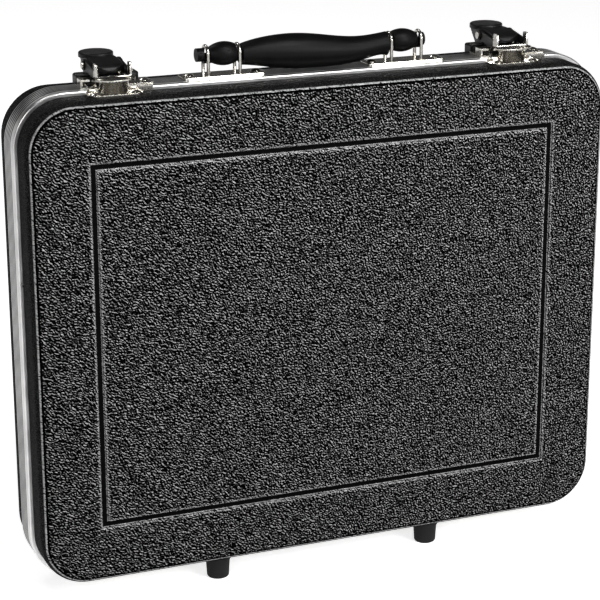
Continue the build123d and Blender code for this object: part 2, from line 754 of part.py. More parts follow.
for side_name, latch_x, plate_x in zip(("left", "right"), latch_xs, latch_plate_xs):
    left_edge = plate_x - latch_plate_width / 2
    with BuildPart() as latch_base:
        with BuildSketch(Plane.XY.offset(edge_top)):
            with Locations((plate_x, plate_front + latch_plate_length / 2)):
                RectangleRounded(latch_plate_width, latch_plate_length, latch_plate)
        extrude(amount=latch_plate)
        for cheek_x in (latch_x - cheek_offset - cheek_thickness, latch_x + cheek_offset):
            with BuildSketch(side_plane(cheek_x)):
                with BuildLine():
                    Polyline(*cheek_outline, close=True)
                make_face()
                with Locations((pivot_y, pivot_z)):
                    Circle(cheek_round)
                    Circle(latch_pin_radius + latch_pin_clearance, mode=Mode.SUBTRACT)
            extrude(amount=cheek_thickness)
        with BuildSketch(Plane.XZ.offset(-plate_front)):
            with BuildLine():
                Polyline(
                    (left_edge, edge_top),
                    (left_edge, edge_top + bracket_height),
                    (left_edge + bracket_width, edge_top + bracket_height),
                    (left_edge + bracket_width, edge_top + bracket_height - latch_plate),
                    (left_edge + latch_plate, edge_top + bracket_height - latch_plate),
                    (left_edge + latch_plate, edge_top),
                    close=True,
                )
            make_face()
        extrude(amount=-bracket_length)
        near = [(x, y) for x, y in latch_rivet_spots if abs(x - plate_x) < latch_plate_width]
        drill(near, plate_top - drill_reach, rivet_shank + rivet_clearance)
    save(latch_base, f"latch_base_{side_name}")

    with BuildPart() as lever:
        with BuildSketch(side_plane(latch_x - lever_half_width)):
            with BuildLine():
                Spline(*from_pivot(lever_top))
                Polyline(
                    from_pivot(lever_top)[-1],
                    (pivot_y + lever_tail, pivot_z + tail_rise),
                    (pivot_y + sole_back, lever_sole),
                    (pivot_y + sole_front, lever_sole),
                    *from_pivot(lever_under),
                    from_pivot(lever_top)[0],
                )
            make_face()
        extrude(amount=2 * lever_half_width)
        with BuildSketch(Plane.XY.offset(edge_top)):
            with BuildLine():
                ThreePointArc(
                    (latch_x - lever_half_width, pivot_y - lever_nose_corner),
                    (latch_x, pivot_y - lever_nose),
                    (latch_x + lever_half_width, pivot_y - lever_nose_corner),
                )
                Polyline(
                    (latch_x + lever_half_width, pivot_y - lever_nose_corner),
                    (latch_x + lever_half_width, pivot_y + lever_straight),
                    (latch_x + lever_tail_half_width, pivot_y + lever_tail),
                    (latch_x - lever_tail_half_width, pivot_y + lever_tail),
                    (latch_x - lever_half_width, pivot_y + lever_straight),
                    (latch_x - lever_half_width, pivot_y - lever_nose_corner),
                )
            make_face()
        extrude(amount=2 * pivot_height, mode=Mode.INTERSECT)
        shoulders = [
            edge
            for edge in lever.edges().filter_by(GeomType.BSPLINE)
            if abs(edge.center().X - latch_x) > lever_tail_half_width - lever_side
        ]
        fillet(shoulders, lever_crown)
        with BuildSketch(Plane.XY.offset(pivot_z + thumb_pad_bottom)):
            with Locations((latch_x, pivot_y + thumb_pad_middle)):
                Circle(thumb_pad_radius)
        extrude(amount=thumb_pad_top - thumb_pad_bottom)
        fillet(lever.faces().sort_by(Axis.Z)[-1].edges(), thumb_pad_round)
        inner_half_width = lever_half_width - lever_side
        with BuildSketch(side_plane(latch_x - inner_half_width)):
            with BuildLine():
                Polyline(*from_pivot(lever_hollow), close=True)
            make_face()
        extrude(amount=2 * inner_half_width, mode=Mode.SUBTRACT)
        with BuildSketch(side_plane(latch_x - lever_half_width)):
            with Locations((pivot_y, pivot_z), (hook_pin_y, hook_pin_z)):
                Circle(latch_pin_radius + latch_pin_clearance)
        extrude(amount=2 * lever_half_width, mode=Mode.SUBTRACT)
    save(lever, f"latch_lever_{side_name}")

    with BuildPart() as hook:
        for arm_x in (latch_x - arm_offset - arm_thickness, latch_x + arm_offset):
            with BuildSketch(side_plane(arm_x)):
                with BuildLine():
                    Polyline(*arm_outline, close=True)
                make_face()
                with Locations((hook_pin_y, hook_pin_z)):
                    Circle(eye_radius)
                    Circle(latch_pin_radius + latch_pin_clearance, mode=Mode.SUBTRACT)
            extrude(amount=arm_thickness)
        bar_half_width = arm_offset + arm_thickness
        with BuildSketch(Plane.XZ.offset(-drum_y)):
            with Locations((latch_x, edge_top + (hook_bar_top + arm_bottom) / 2)):
                Rectangle(2 * bar_half_width, hook_bar_top - arm_bottom)
            with Locations((latch_x, edge_top + (hook_bar_top + drum_top) / 2)):
                Rectangle(2 * drum_disc_half_width, hook_bar_top - drum_top)
        extrude(amount=drum_wall)
        with BuildSketch(Plane.XY.offset(edge_top + drum_top)):
            with Locations((latch_x, drum_y)):
                Ellipse(drum_disc_half_width, drum_disc_reach)
                with Locations((0, drum_disc_reach)):
                    Rectangle(3 * drum_disc_half_width, 2 * drum_disc_reach, mode=Mode.SUBTRACT)
        extrude(amount=drum_disc)
        drum_bottom = shell_top + catch_plate + keeper_gap
        with BuildSketch(Plane.XY.offset(drum_bottom)):
            with Locations((latch_x, drum_y)):
                Circle(drum_radius)
                Circle(drum_radius - drum_wall, mode=Mode.SUBTRACT)
                with Locations((0, drum_radius)):
                    Rectangle(3 * drum_radius, 2 * drum_radius, mode=Mode.SUBTRACT)
        extrude(amount=edge_top + drum_top - drum_bottom)
    save(hook, f"latch_hook_{side_name}")

    with BuildPart() as catch:
        catch_front = lid_face + catch_from_face
        catch_length = drum_y + keeper_gap + upstand - catch_front
        with BuildSketch(Plane.XY.offset(shell_top)) as foot_print:
            with Locations((latch_x, catch_front + catch_length / 2)):
                Rectangle(catch_width, catch_length)
            fillet(foot_print.vertices().group_by(Axis.Y)[0], catch_corner)
        extrude(amount=catch_plate)
        with BuildSketch(Plane.XZ.offset(-(drum_y + keeper_gap + upstand))):
            with Locations((plate_x, (shell_top + edge_top + upstand_rise) / 2)):
                RectangleRounded(upstand_width, edge_top + upstand_rise - shell_top, upstand_corner)
        extrude(amount=upstand)
        keeper_radius = drum_radius - drum_wall - keeper_gap
        with BuildSketch(Plane.XY.offset(shell_top + catch_plate)):
            with Locations((latch_x, drum_y)):
                Circle(keeper_radius)
                Circle(keeper_radius - keeper_wall, mode=Mode.SUBTRACT)
                with Locations((0, keeper_radius + keeper_gap)):
                    Rectangle(3 * keeper_radius, 2 * keeper_radius, mode=Mode.SUBTRACT)
        extrude(amount=keeper_height)
        near = [(x, y) for x, y in catch_rivet_spots if abs(x - latch_x) < catch_width]
        drill(near, shell_top, rivet_shank + rivet_clearance)
    save(catch, f"latch_catch_{side_name}")

    save(cross_pin(latch_x, pivot_y, pivot_z, arm_offset - pin_end_gap), f"lever_pin_{side_name}")
    washer_face = arm_offset + arm_thickness
    with BuildPart() as hook_pin:
        head_face = washer_face + washer_thickness + pin_head_gap
        add(cross_pin(latch_x, hook_pin_y, hook_pin_z, head_face).part)
        for turn in (-1, 1):
            head_x = latch_x + turn * head_face
            with BuildSketch(side_plane(head_x)):
                with Locations((hook_pin_y, hook_pin_z)):
                    Circle(pin_head_radius)
            extrude(amount=turn * pin_head_height)
    save(hook_pin, f"hook_pin_{side_name}")
    with BuildPart() as washers:
        for turn in (-1, 1):
            with BuildSketch(side_plane(latch_x + turn * washer_face)):
                with Locations((hook_pin_y, hook_pin_z)):
                    Circle(washer_radius)
                    Circle(latch_pin_radius + latch_pin_clearance, mode=Mode.SUBTRACT)
            extrude(amount=turn * washer_thickness)
    save(washers, f"hook_washers_{side_name}")

    with BuildPart() as block:
        with BuildSketch(Plane.XY.offset(shell_top)):
            with Locations((plate_x, block_screw_y)):
                RectangleRounded(2 * block_half_width, block_length, block_corner)
        extrude(amount=block_top_z - shell_top)
        fillet(block.faces().sort_by(Axis.Z)[-1].edges(), block_edge_round)
        near = [(x, y) for x, y in block_screw_spots if abs(x - plate_x) < latch_plate_width]
        drill(near, shell_top, screw_shank + rivet_clearance)
        with BuildSketch(Plane.XY.offset(block_seat)):
            with Locations(*near):
                Circle(screw_head + screw_head_gap)
        extrude(amount=block_recess, mode=Mode.SUBTRACT)
    save(block, f"latch_block_{side_name}")


# ---------------------------------------------------------------- foam tray and lid pad
foam_inset = tongue_inner + foam_clearance
foam_width = case_width - 2 * foam_inset
foam_height = case_height - 2 * foam_inset
foam_corner = corner_radius - foam_inset
foam_front = base_edge_front + foam_below_edge
foam_back = base_face - wall
floor_front = foam_back - foam_floor
floor_inset = flange_outer + pad_from_wall
tray_width = foam_width - 2 * foam_border
tray_height = foam_height - 2 * foam_border
slot_width = (tray_width - (slot_columns - 1) * column_divider) / slot_columns
slot_pitch = slot_height + slot_divider
slot_zone = slot_rows * slot_pitch
tray_top = middle + tray_height / 2
tray_bottom = middle - tray_height / 2
slot_zone_bottom = tray_top - slot_zone
foam_thickness = floor_front - foam_front


def foam_block(low_x, high_x, low_z, high_z, near_y, far_y):
    """Rectangular piece of foam."""
    with BuildSketch(front_plane(near_y)) as face:
        with Locations((-(low_x + high_x) / 2, (low_z + high_z) / 2 - middle)):
            Rectangle(high_x - low_x, high_z - low_z)
    extrude(face.sketch, amount=far_y - near_y)


with BuildPart() as foam_floor_sheet:
    with BuildSketch(front_plane(floor_front)):
        RectangleRounded(
            case_width - 2 * floor_inset, case_height - 2 * floor_inset, corner_radius - floor_inset
        )
    extrude(amount=foam_floor)
save(foam_floor_sheet, "foam_floor")

with BuildPart() as foam_border_frame:
    with BuildSketch(front_plane(foam_front)):
        RectangleRounded(foam_width, foam_height, foam_corner)
        Rectangle(tray_width, tray_height, mode=Mode.SUBTRACT)
    extrude(amount=foam_thickness)
save(foam_border_frame, "foam_border")

column_xs = [
    -tray_width / 2 + slot_width + column * (slot_width + column_divider)
    for column in range(slot_columns - 1)
]
with BuildPart() as foam_columns:
    foam_block(column_xs[0], column_xs[0] + column_divider, tray_bottom, tray_top, foam_front, floor_front)
    for x in column_xs[1:]:
        foam_block(x, x + column_divider, slot_zone_bottom, tray_top, foam_front, floor_front)
save(foam_columns, "foam_columns")

with BuildPart() as foam_rows:
    for column in range(slot_columns):
        low_x = -tray_width / 2 + column * (slot_width + column_divider)
        for row in range(slot_rows):
            high_z = tray_top - slot_height - row * slot_pitch
            foam_block(low_x, low_x + slot_width, high_z - slot_divider, high_z, foam_front, floor_front)
save(foam_rows, "foam_rows")

with BuildPart() as lid_foam:
    with BuildSketch(front_plane(lid_face + wall)):
        RectangleRounded(
            case_width - 2 * floor_inset, case_height - 2 * floor_inset, corner_radius - floor_inset
        )
    extrude(amount=lid_pad_thickness)
save(lid_foam, "lid_foam")
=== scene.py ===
"""Looks of a hard-shell harmonica case, built round its packed construction model.

Metres, in the model's own frame: +Z is up with the case on its feet, +X to the right and -Y out of
the lid's face. The construction's pieces keep their shapes and get their finishes here. The foam
inside is modelled anew as cut and flocked pads, and the latches' hooks get fuller bells.
"""

from __future__ import annotations

import json
import logging
import math
from collections.abc import Iterable
from dataclasses import dataclass, field
from enum import Enum
from typing import ClassVar

import bmesh
import bpy
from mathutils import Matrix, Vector, noise


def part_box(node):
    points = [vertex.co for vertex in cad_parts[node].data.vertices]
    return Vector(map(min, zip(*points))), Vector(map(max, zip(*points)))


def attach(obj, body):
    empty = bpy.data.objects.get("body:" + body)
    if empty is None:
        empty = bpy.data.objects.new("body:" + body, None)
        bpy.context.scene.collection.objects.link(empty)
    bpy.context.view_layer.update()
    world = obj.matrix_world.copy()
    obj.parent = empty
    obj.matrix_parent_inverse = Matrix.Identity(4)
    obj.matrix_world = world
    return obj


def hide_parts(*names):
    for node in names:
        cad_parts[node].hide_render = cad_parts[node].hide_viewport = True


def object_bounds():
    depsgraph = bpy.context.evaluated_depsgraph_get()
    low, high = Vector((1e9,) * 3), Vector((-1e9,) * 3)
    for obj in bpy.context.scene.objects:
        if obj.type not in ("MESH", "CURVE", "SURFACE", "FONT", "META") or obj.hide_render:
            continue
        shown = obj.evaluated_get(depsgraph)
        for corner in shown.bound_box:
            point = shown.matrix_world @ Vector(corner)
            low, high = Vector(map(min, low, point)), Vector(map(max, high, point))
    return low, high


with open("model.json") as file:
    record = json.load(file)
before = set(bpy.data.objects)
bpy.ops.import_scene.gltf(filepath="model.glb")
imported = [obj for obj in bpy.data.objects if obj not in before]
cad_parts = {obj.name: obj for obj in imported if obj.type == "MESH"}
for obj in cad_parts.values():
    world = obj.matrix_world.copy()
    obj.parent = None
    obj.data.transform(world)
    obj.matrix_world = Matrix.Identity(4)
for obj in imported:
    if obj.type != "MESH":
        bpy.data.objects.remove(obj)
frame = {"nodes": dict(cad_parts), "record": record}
CAD_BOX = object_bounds()

MM = 0.001
PHOTO_SIDE = 600  # pixels, both ways
WELD = 1e-6  # metres; nearer points of a construction mesh are one

CLOUD_SPAN = (0.3, 0.7)  # the levels between which a noise texture mostly lies

# The corners of a rounded rectangle: the sides that each lies on, and where its arc starts.
CORNERS = ((1, 1, 0.0), (-1, 1, 90.0), (-1, -1, 180.0), (1, -1, 270.0))

log = logging.getLogger("harmonica_case")


class Slot(Enum):
    """The record's material slots."""

    SHELL = "shell"
    EDGE = "edge_aluminium"
    NICKEL = "nickel"
    LATCH = "latch_black"
    HANDLE = "handle"
    RUBBER = "foot_rubber"
    FOAM = "foam"


class Side(Enum):
    """The two ends of the case, as seen from the lid."""

    LEFT = "left"
    RIGHT = "right"


class Body(Enum):
    """The construction's bodies that pieces of this file ride on."""

    BASE = "base"
    LID = "lid"


Socket = bpy.types.NodeSocket
Input = float | tuple[float, ...] | Socket
Pair = tuple[float, float]
Triple = tuple[float, float, float]
Colour = tuple[float, float, float, float]


class Board:
    """A node tree, with a short call for each kind of node that the finishes use."""

    def __init__(self, owner: bpy.types.Material | bpy.types.World) -> None:
        """Clears the owner's nodes.

        Args:
            owner: The material or world that the nodes belong to.
        """
        owner.use_nodes = True
        self.tree = owner.node_tree
        self.tree.nodes.clear()

    def add(self, kind: str, **settings: object) -> bpy.types.Node:
        """Adds one node.

        Args:
            kind: Blender's name for the node's type.
            **settings: Properties to set on it.

        Returns:
            The new node.
        """
        node = self.tree.nodes.new(kind)
        for key, value in settings.items():
            setattr(node, key, value)
        return node

    def feed(self, node: bpy.types.Node, name: str | int, value: Input) -> None:
        """Gives an input a value or joins it to another node.

        Args:
            node: The node with the input.
            name: The input's name or number.
            value: A plain value, or the output to join.
        """
        if isinstance(value, Socket):
            self.tree.links.new(value, node.inputs[name])
        else:
            node.inputs[name].default_value = value

    def place(self) -> Socket:
        """Gives the point on the piece in millimetres, in the piece's own frame."""
        scaled = self.add("ShaderNodeVectorMath", operation="SCALE")
        self.feed(scaled, "Vector", self.add("ShaderNodeTexCoord").outputs["Object"])
        self.feed(scaled, "Scale", 1 / MM)
        return scaled.outputs["Vector"]

    def stretch(self, vector: Input, size: Triple) -> Socket:
        """Divides a place by a size, so that one unit is one grain.

        Args:
            vector: The place, in millimetres.
            size: The grain's size along each axis, in millimetres.

        Returns:
            The stretched place.
        """
        mapping = self.add("ShaderNodeMapping", vector_type="TEXTURE")
        self.feed(mapping, "Vector", vector)
        self.feed(mapping, "Scale", size)
        return mapping.outputs["Vector"]

    def noise(self, vector: Input, scale: float, roughness: float, detail: float) -> bpy.types.Node:
        """Adds a noise texture.

        Args:
            vector: Where it is read.
            scale: Its scale.
            roughness: How strong the finer octaves are.
            detail: How many octaves it has.

        Returns:
            The node, for its Fac or Color output.
        """
        node = self.add("ShaderNodeTexNoise")
        self.feed(node, "Vector", vector)
        self.feed(node, "Scale", scale)
        self.feed(node, "Detail", detail)
        self.feed(node, "Roughness", roughness)
        return node

    def cloud(
        self, vector: Input, scale: float, roughness: float = 0.6, detail: float = 3.0
    ) -> Socket:
        """Gives a noise texture's level, from 0 to 1, for wear, haze and patches."""
        return self.noise(vector, scale, roughness, detail).outputs["Fac"]

    def warp(self, vector: Input, scale: float, amount: float) -> Socket:
        """Pushes a place about by noise, so that a regular pattern wanders.

        Args:
            vector: The place.
            scale: The noise's scale.
            amount: How far it is pushed, in the place's own units.

        Returns:
            The moved place.
        """
        centred = self.add("ShaderNodeVectorMath", operation="SUBTRACT")
        self.feed(centred, 0, self.noise(vector, scale, 0.5, 2.0).outputs["Color"])
        self.feed(centred, 1, (0.5, 0.5, 0.5))
        scaled = self.add("ShaderNodeVectorMath", operation="SCALE")
        self.feed(scaled, "Vector", centred.outputs["Vector"])
        self.feed(scaled, "Scale", amount * 2)
        moved = self.add("ShaderNodeVectorMath", operation="ADD")
        self.feed(moved, 0, vector)
        self.feed(moved, 1, scaled.outputs["Vector"])
        return moved.outputs["Vector"]

    def cells(self, vector: Input, feature: str) -> Socket:
        """Adds a Voronoi texture.

        Args:
            vector: Where it is read, one cell to a unit.
            feature: Which distance it gives.

        Returns:
            The distance.
        """
        node = self.add("ShaderNodeTexVoronoi", feature=feature)
        self.feed(node, "Vector", vector)
        self.feed(node, "Scale", 1.0)
        return node.outputs["Distance"]

    def sum(self, operation: str, a: Input, b: Input = 0.0) -> Socket:
        """Adds one sum on two numbers.

        Args:
            operation: Blender's name for the sum.
            a: The first number.
            b: The second number.

        Returns:
            The result.
        """
        node = self.add("ShaderNodeMath", operation=operation)
        self.feed(node, 0, a)
        self.feed(node, 1, b)
        return node.outputs[0]

    def span(
        self, value: Input, low: float, high: float, to_low: float = 0.0, to_high: float = 1.0
    ) -> Socket:
        """Maps a number smoothly from one span to another.

        Args:
            value: The number.
            low: Where the first span starts.
            high: Where the first span ends.
            to_low: Where the second span starts.
            to_high: Where the second span ends.

        Returns:
            The mapped number.
        """
        node = self.add("ShaderNodeMapRange", interpolation_type="SMOOTHSTEP")
        for index, part in enumerate((value, low, high, to_low, to_high)):
            self.feed(node, index, part)
        return node.outputs["Result"]

    def blend(self, factor: Input, a: Input, b: Input) -> Socket:
        """Mixes two colours.

        Args:
            factor: From 0, all the first, to 1, all the second.
            a: The first colour.
            b: The second colour.

        Returns:
            The mixed colour.
        """
        node = self.add("ShaderNodeMix", data_type="RGBA")
        self.feed(node, 0, factor)
        self.feed(node, 6, a)
        self.feed(node, 7, b)
        return node.outputs[2]

    def axis(self, vector: Input, name: str) -> Socket:
        """Takes one axis, X, Y or Z, of a place."""
        node = self.add("ShaderNodeSeparateXYZ")
        self.feed(node, 0, vector)
        return node.outputs[name]

    def relief(self, height: Input, depth: float, under: Input | None = None) -> Socket:
        """Turns a height into a bumped normal.

        Args:
            height: The height, from 0 to 1.
            depth: What a height of 1 is, in millimetres.
            under: A normal that the bump is laid on.

        Returns:
            The normal.
        """
        node = self.add("ShaderNodeBump")
        self.feed(node, "Strength", 1.0)
        self.feed(node, "Distance", depth * MM)
        self.feed(node, "Height", height)
        if under is not None:
            self.feed(node, "Normal", under)
        return node.outputs["Normal"]

    def eased_edges(self, radius: float) -> Socket:
        """Gives a normal that rounds the edges, as a tumbled or moulded piece has them.

        Args:
            radius: The rounding's radius, in millimetres.

        Returns:
            The normal.
        """
        node = self.add("ShaderNodeBevel", samples=4)
        self.feed(node, "Radius", radius * MM)
        return node.outputs["Normal"]

    def rays(self) -> tuple[Socket, Socket]:
        """Finds what a ray is for.

        Returns:
            1 for what the camera sees, and 1 for what a mirror or a window shows.
        """
        path = self.add("ShaderNodeLightPath").outputs
        mirrored = self.sum("MAXIMUM", path["Is Glossy Ray"], path["Is Transmission Ray"])
        return path["Is Camera Ray"], mirrored


class FinishBoard(Board):
    """The nodes of one finish, round one Principled shader."""

    def __init__(self, name: str) -> None:
        """Starts the material.

        Args:
            name: The material's name.
        """
        self.material = bpy.data.materials.new(name)
        super().__init__(self.material)
        self.shader = self.add("ShaderNodeBsdfPrincipled")
        output = self.add("ShaderNodeOutputMaterial")
        self.feed(output, "Surface", self.shader.outputs["BSDF"])

    def set(self, **values: Input) -> None:
        """Sets the shader's own sockets, with underscores for the spaces in their names."""
        for name, value in values.items():
            self.feed(self.shader, name.replace("_", " "), value)


def grey(level: float) -> Colour:
    """Gives a neutral colour of a linear level."""
    return (level, level, level, 1.0)


class Finish:
    """A material that is built from its own fields.

    Attributes:
        name: The material's name.
    """

    name: str

    def build(self) -> bpy.types.Material:
        """Builds the material.

        Returns:
            The material.
        """
        board = FinishBoard(self.name)
        self.paint(board, board.place())
        return board.material

    def paint(self, board: FinishBoard, place: Socket) -> None:
        """Sets the shader's sockets.

        Args:
            board: The material's nodes.
            place: The point on the piece, in millimetres.
        """
        raise NotImplementedError


@dataclass(frozen=True)
class GrainedShell(Finish):
    """Black shell plastic: coarse wrinkled grain on the two faces, fine grain on the walls, with
    painted highlight and painted shade on the faces' grain.

    Lengths are in millimetres.

    Attributes:
        face_plane: How far the two faces lie from the middle of the case.
        half_length: Half the case's length.
        wrinkle_pitch: The distance from one wrinkle of the faces to the next.
        wrinkle_waves: How many of them lie side by side before they break up.
        wrinkle_order: How far they run one way, from 0 to 1, at the left and right end.
        wrinkle_turn: The turn of that way about Y, in degrees.
        wander: The scale and the reach of the noise that makes all grain wander.
        face_relief: The wrinkles' height.
        face_starts: How far behind the face the wrinkles fade out on the rounded border.
        wall_grain: The size of one grain on the walls and in the groove.
        wall_relief: Its height.
        pore_width: How wide the crease round each of its grains is, as a share of the grain.
        tooth: The scale, roughness and octaves of the fine tooth under all grain.
        tooth_relief: Its height.
        groove_half: Half the width and height of the rectangle that the groove draws.
        groove_middle: The height of the rectangle's middle.
        groove_width: The groove's width.
        lip_reach: How far the grain runs over the groove's edge.
        lip_width: How far the grain rounds down to the groove.
        lip_drop: How deep it goes down there.
        lip_fade: Over what width it fades out there.
        edge_highlight: How much painted highlight is laid on the grain on the groove's edge and on
            the border's ridge, and how much painted shade in the gutter.
        groove_highlight_band: From where to where off the groove that painted highlight lies, and
            how strong it is at most.
        ridge: How far behind the face the painted highlight on the border's ridge starts and is
            full.
        gutter: How far behind the face the painted shade of the gutter inside it starts and is
            full.
        gutter_shade_strength: How much of the grain's brightness that painted shade takes away.
        crown_from: The heights between which a wrinkle turns from painted shade to painted
            highlight.
        patches: The scale and roughness of the patches where crowns are duller.
        patch_dim: How bright the crowns' painted highlight is in the dullest patch.
        painted_highlight: The colour's level on the wrinkles' crowns, a painted highlight.
        valley_shade: The colour's level between them, a painted shade.
        wall: The colour's level on the walls.
        wall_tint: The wall colour's red, green and blue, as shares of that level.
        crease_shade: How dark the painted shade in the walls' creases is, as a share of it.
        groove_shade: The colour's level in the groove, a painted shade.
        crown_shine: How strongly the crowns reflect.
        wall_shine: How strongly the walls reflect, in a crease and on a grain.
        roughness: The roughness of the walls and of the faces.
    """

    name: ClassVar[str] = "grained_shell_plastic"

    face_plane: float
    half_length: float
    wrinkle_pitch: float = 1.50
    wrinkle_waves: float = 1.25
    wrinkle_order: Pair = (0.62, 0.26)
    wrinkle_turn: float = 62.0
    wander: Pair = (0.30, 1.1)
    face_relief: float = 0.65
    face_starts: Pair = (2.2, 1.8)
    wall_grain: Triple = (1.15, 1.15, 0.95)
    wall_relief: float = 0.35
    pore_width: float = 0.4
    tooth: Triple = (2.6, 0.65, 3.0)
    tooth_relief: float = 0.10
    groove_half: Pair = (140.8, 106.65)
    groove_middle: float = 153.5
    groove_width: float = 4.0
    lip_reach: float = 0.9
    lip_width: float = 2.2
    lip_drop: float = 1.2
    lip_fade: float = 0.5
    edge_highlight: float = 0.26
    groove_highlight_band: Triple = (0.3, 1.6, 0.55)
    ridge: Pair = (1.05, 1.35)
    gutter: Pair = (0.45, 0.75)
    gutter_shade_strength: float = 0.9
    crown_from: Pair = (0.52, 0.72)
    patches: Pair = (0.45, 0.7)
    patch_dim: float = 0.45
    painted_highlight: float = 0.37
    valley_shade: float = 0.0008
    wall: float = 0.014
    wall_tint: Triple = (1.0, 0.96, 0.93)
    crease_shade: float = 0.35
    groove_shade: float = 0.003
    crown_shine: float = 0.95
    wall_shine: Pair = (0.01, 0.20)
    roughness: Pair = (0.62, 0.36)

    def paint(self, board: FinishBoard, place: Socket) -> None:
        """Sets the shader's sockets from the grain, the groove and the painted highlight and shade
        on the wrinkles.
        """
        wandering = board.warp(place, *self.wander)
        wrinkle = self.wrinkles(board, wandering)
        fine = self.pores(board, wandering)
        face, off_groove = self.face_masks(board, place)
        beside = board.span(off_groove, -self.lip_reach, self.lip_fade - self.lip_reach)
        coarse = board.sum("MULTIPLY", face, beside)
        on_wall = board.sum("SUBTRACT", 1.0, face)

        tooth = board.relief(board.cloud(place, *self.tooth), self.tooth_relief)
        walls = board.relief(board.sum("MULTIPLY", fine, on_wall), self.wall_relief, tooth)
        rise = board.sum("MAXIMUM", board.sum("ADD", off_groove, self.lip_reach), 0.0)
        slope = board.sum("DIVIDE", rise, self.lip_width)
        lip = board.relief(board.sum("MINIMUM", slope, 1.0), self.lip_drop, walls)
        normal = board.relief(board.sum("MULTIPLY", wrinkle, coarse), self.face_relief, lip)

        # Painted light on the wrinkles: highlight on the crowns and shade in the valleys, in their
        # colour and in how strongly they reflect.
        lit = self.crowns(board, place, wrinkle, off_groove)
        crowned = board.blend(lit, grey(self.valley_shade), grey(self.painted_highlight))
        # The groove is painted in shade: near black and without reflection.
        face_colour = board.blend(beside, grey(self.groove_shade), crowned)
        wall_crown = (*(self.wall * share for share in self.wall_tint), 1.0)
        # The creases round the walls' grains are painted in shade, and reflect less.
        wall_colour = board.blend(fine, grey(self.wall * self.crease_shade), wall_crown)
        face_shine = board.sum("MULTIPLY", coarse, board.span(lit, 0, 1, 0, self.crown_shine))
        wall_shine = board.sum("MULTIPLY", on_wall, board.span(fine, 0, 1, *self.wall_shine))
        board.set(
            Base_Color=board.blend(face, wall_colour, face_colour),
            Roughness=board.span(face, 0, 1, *self.roughness),
            Specular_IOR_Level=board.sum("ADD", face_shine, wall_shine),
            IOR=1.55,
            Normal=normal,
        )

    def crowns(self, board: Board, place: Input, wrinkle: Input, off_groove: Input) -> Socket:
        """Finds the painted highlight on the wrinkles' crowns, weaker in some patches than in
        others.

        Args:
            board: The material's nodes.
            place: The place, in millimetres.
            wrinkle: The wrinkles' height.
            off_groove: The distance from the groove.

        Returns:
            From 0 in the valleys' painted shade to 1 on the crowns' brightest painted highlight.
        """
        # Painted highlight beside the groove and on the border's ridge lifts the grain towards its
        # crowns; the gutter's painted shade lowers it.
        painted_edge_light = board.sum("MULTIPLY", self.highlighted_edges(board, place, off_groove), self.edge_highlight)
        painted_highlight = board.span(board.sum("ADD", wrinkle, painted_edge_light), *self.crown_from)
        patch = board.span(board.cloud(place, *self.patches), *CLOUD_SPAN, self.patch_dim, 1.0)
        return board.sum("MULTIPLY", painted_highlight, patch)

    def face_masks(self, board: Board, place: Input) -> tuple[Socket, Socket]:
        """Finds the two faces, and the distance from the groove on them.

        Args:
            board: The material's nodes.
            place: The place, in millimetres.

        Returns:
            1 on the faces and 0 elsewhere, and the distance, which is less than 0 in the groove.
        """
        depth = board.sum("ABSOLUTE", board.axis(place, "Y"))
        far, near = self.face_starts
        face = board.span(depth, self.face_plane - far, self.face_plane - near)
        sideways = board.sum("ABSOLUTE", board.axis(place, "X"))
        across = board.sum("SUBTRACT", sideways, self.groove_half[0])
        height = board.sum("SUBTRACT", board.axis(place, "Z"), self.groove_middle)
        upward = board.sum("SUBTRACT", board.sum("ABSOLUTE", height), self.groove_half[1])
        beyond = board.sum("MAXIMUM", across, upward)
        off_centre = board.sum("ABSOLUTE", board.sum("ADD", beyond, self.groove_width / 2))
        return face, board.sum("SUBTRACT", off_centre, self.groove_width / 2)

    def highlighted_edges(self, board: Board, place: Input, off_groove: Input) -> Socket:
        """Finds where highlight is painted: beside the groove and on the face's border ridge, with
        painted shade in the gutter inside it.

        Args:
            board: The material's nodes.
            place: The place, in millimetres.
            off_groove: The distance from the groove.

        Returns:
            1 on the painted highlight, less than 0 in the gutter's painted shade inside the border
            and 0 elsewhere.
        """
        near, far, most = self.groove_highlight_band
        beside = board.span(off_groove, near, far, most, 0.0)
        depth = board.sum("ABSOLUTE", board.axis(place, "Y"))
        behind = board.sum("SUBTRACT", self.face_plane, depth)
        ridge = board.span(behind, *self.ridge)
        flat = board.span(behind, *self.gutter, 1.0, 0.0)
        # The gutter inside the ridge is painted shade.
        gutter = board.sum("SUBTRACT", 1.0, board.sum("MAXIMUM", ridge, flat))
        raised = board.sum("MAXIMUM", beside, ridge)
        return board.sum("SUBTRACT", raised, board.sum("MULTIPLY", gutter, self.gutter_shade_strength))

    def wrinkles(self, board: Board, place: Input) -> Socket:
        """Makes the faces' packed wrinkles, which run less and less one way towards the right.

        Args:
            board: The material's nodes.
            place: Where they are read, in millimetres.

        Returns:
            The height, from 0 in the valleys to 1 on the crowns.
        """
        sideways = board.axis(place, "X")
        order = board.span(sideways, -self.half_length, self.half_length, *self.wrinkle_order)
        flat = board.add("ShaderNodeCombineXYZ")
        board.feed(flat, "X", sideways)
        board.feed(flat, "Y", board.axis(place, "Z"))
        waves = board.add("ShaderNodeTexGabor", gabor_type="2D")
        board.feed(waves, "Vector", flat.outputs[0])
        board.feed(waves, "Scale", 1 / (self.wrinkle_pitch * self.wrinkle_waves))
        board.feed(waves, "Frequency", self.wrinkle_waves)
        board.feed(waves, "Anisotropy", order)
        board.feed(waves, "Orientation", math.radians(self.wrinkle_turn))
        return waves.outputs["Value"]

    def pores(self, board: Board, place: Input) -> Socket:
        """Makes the walls' fine even grain.

        Args:
            board: The material's nodes.
            place: Where it is read, in millimetres.

        Returns:
            The height, from 0 to 1.
        """
        edge = board.cells(board.stretch(place, self.wall_grain), "DISTANCE_TO_EDGE")
        return board.span(edge, 0.0, self.pore_width)


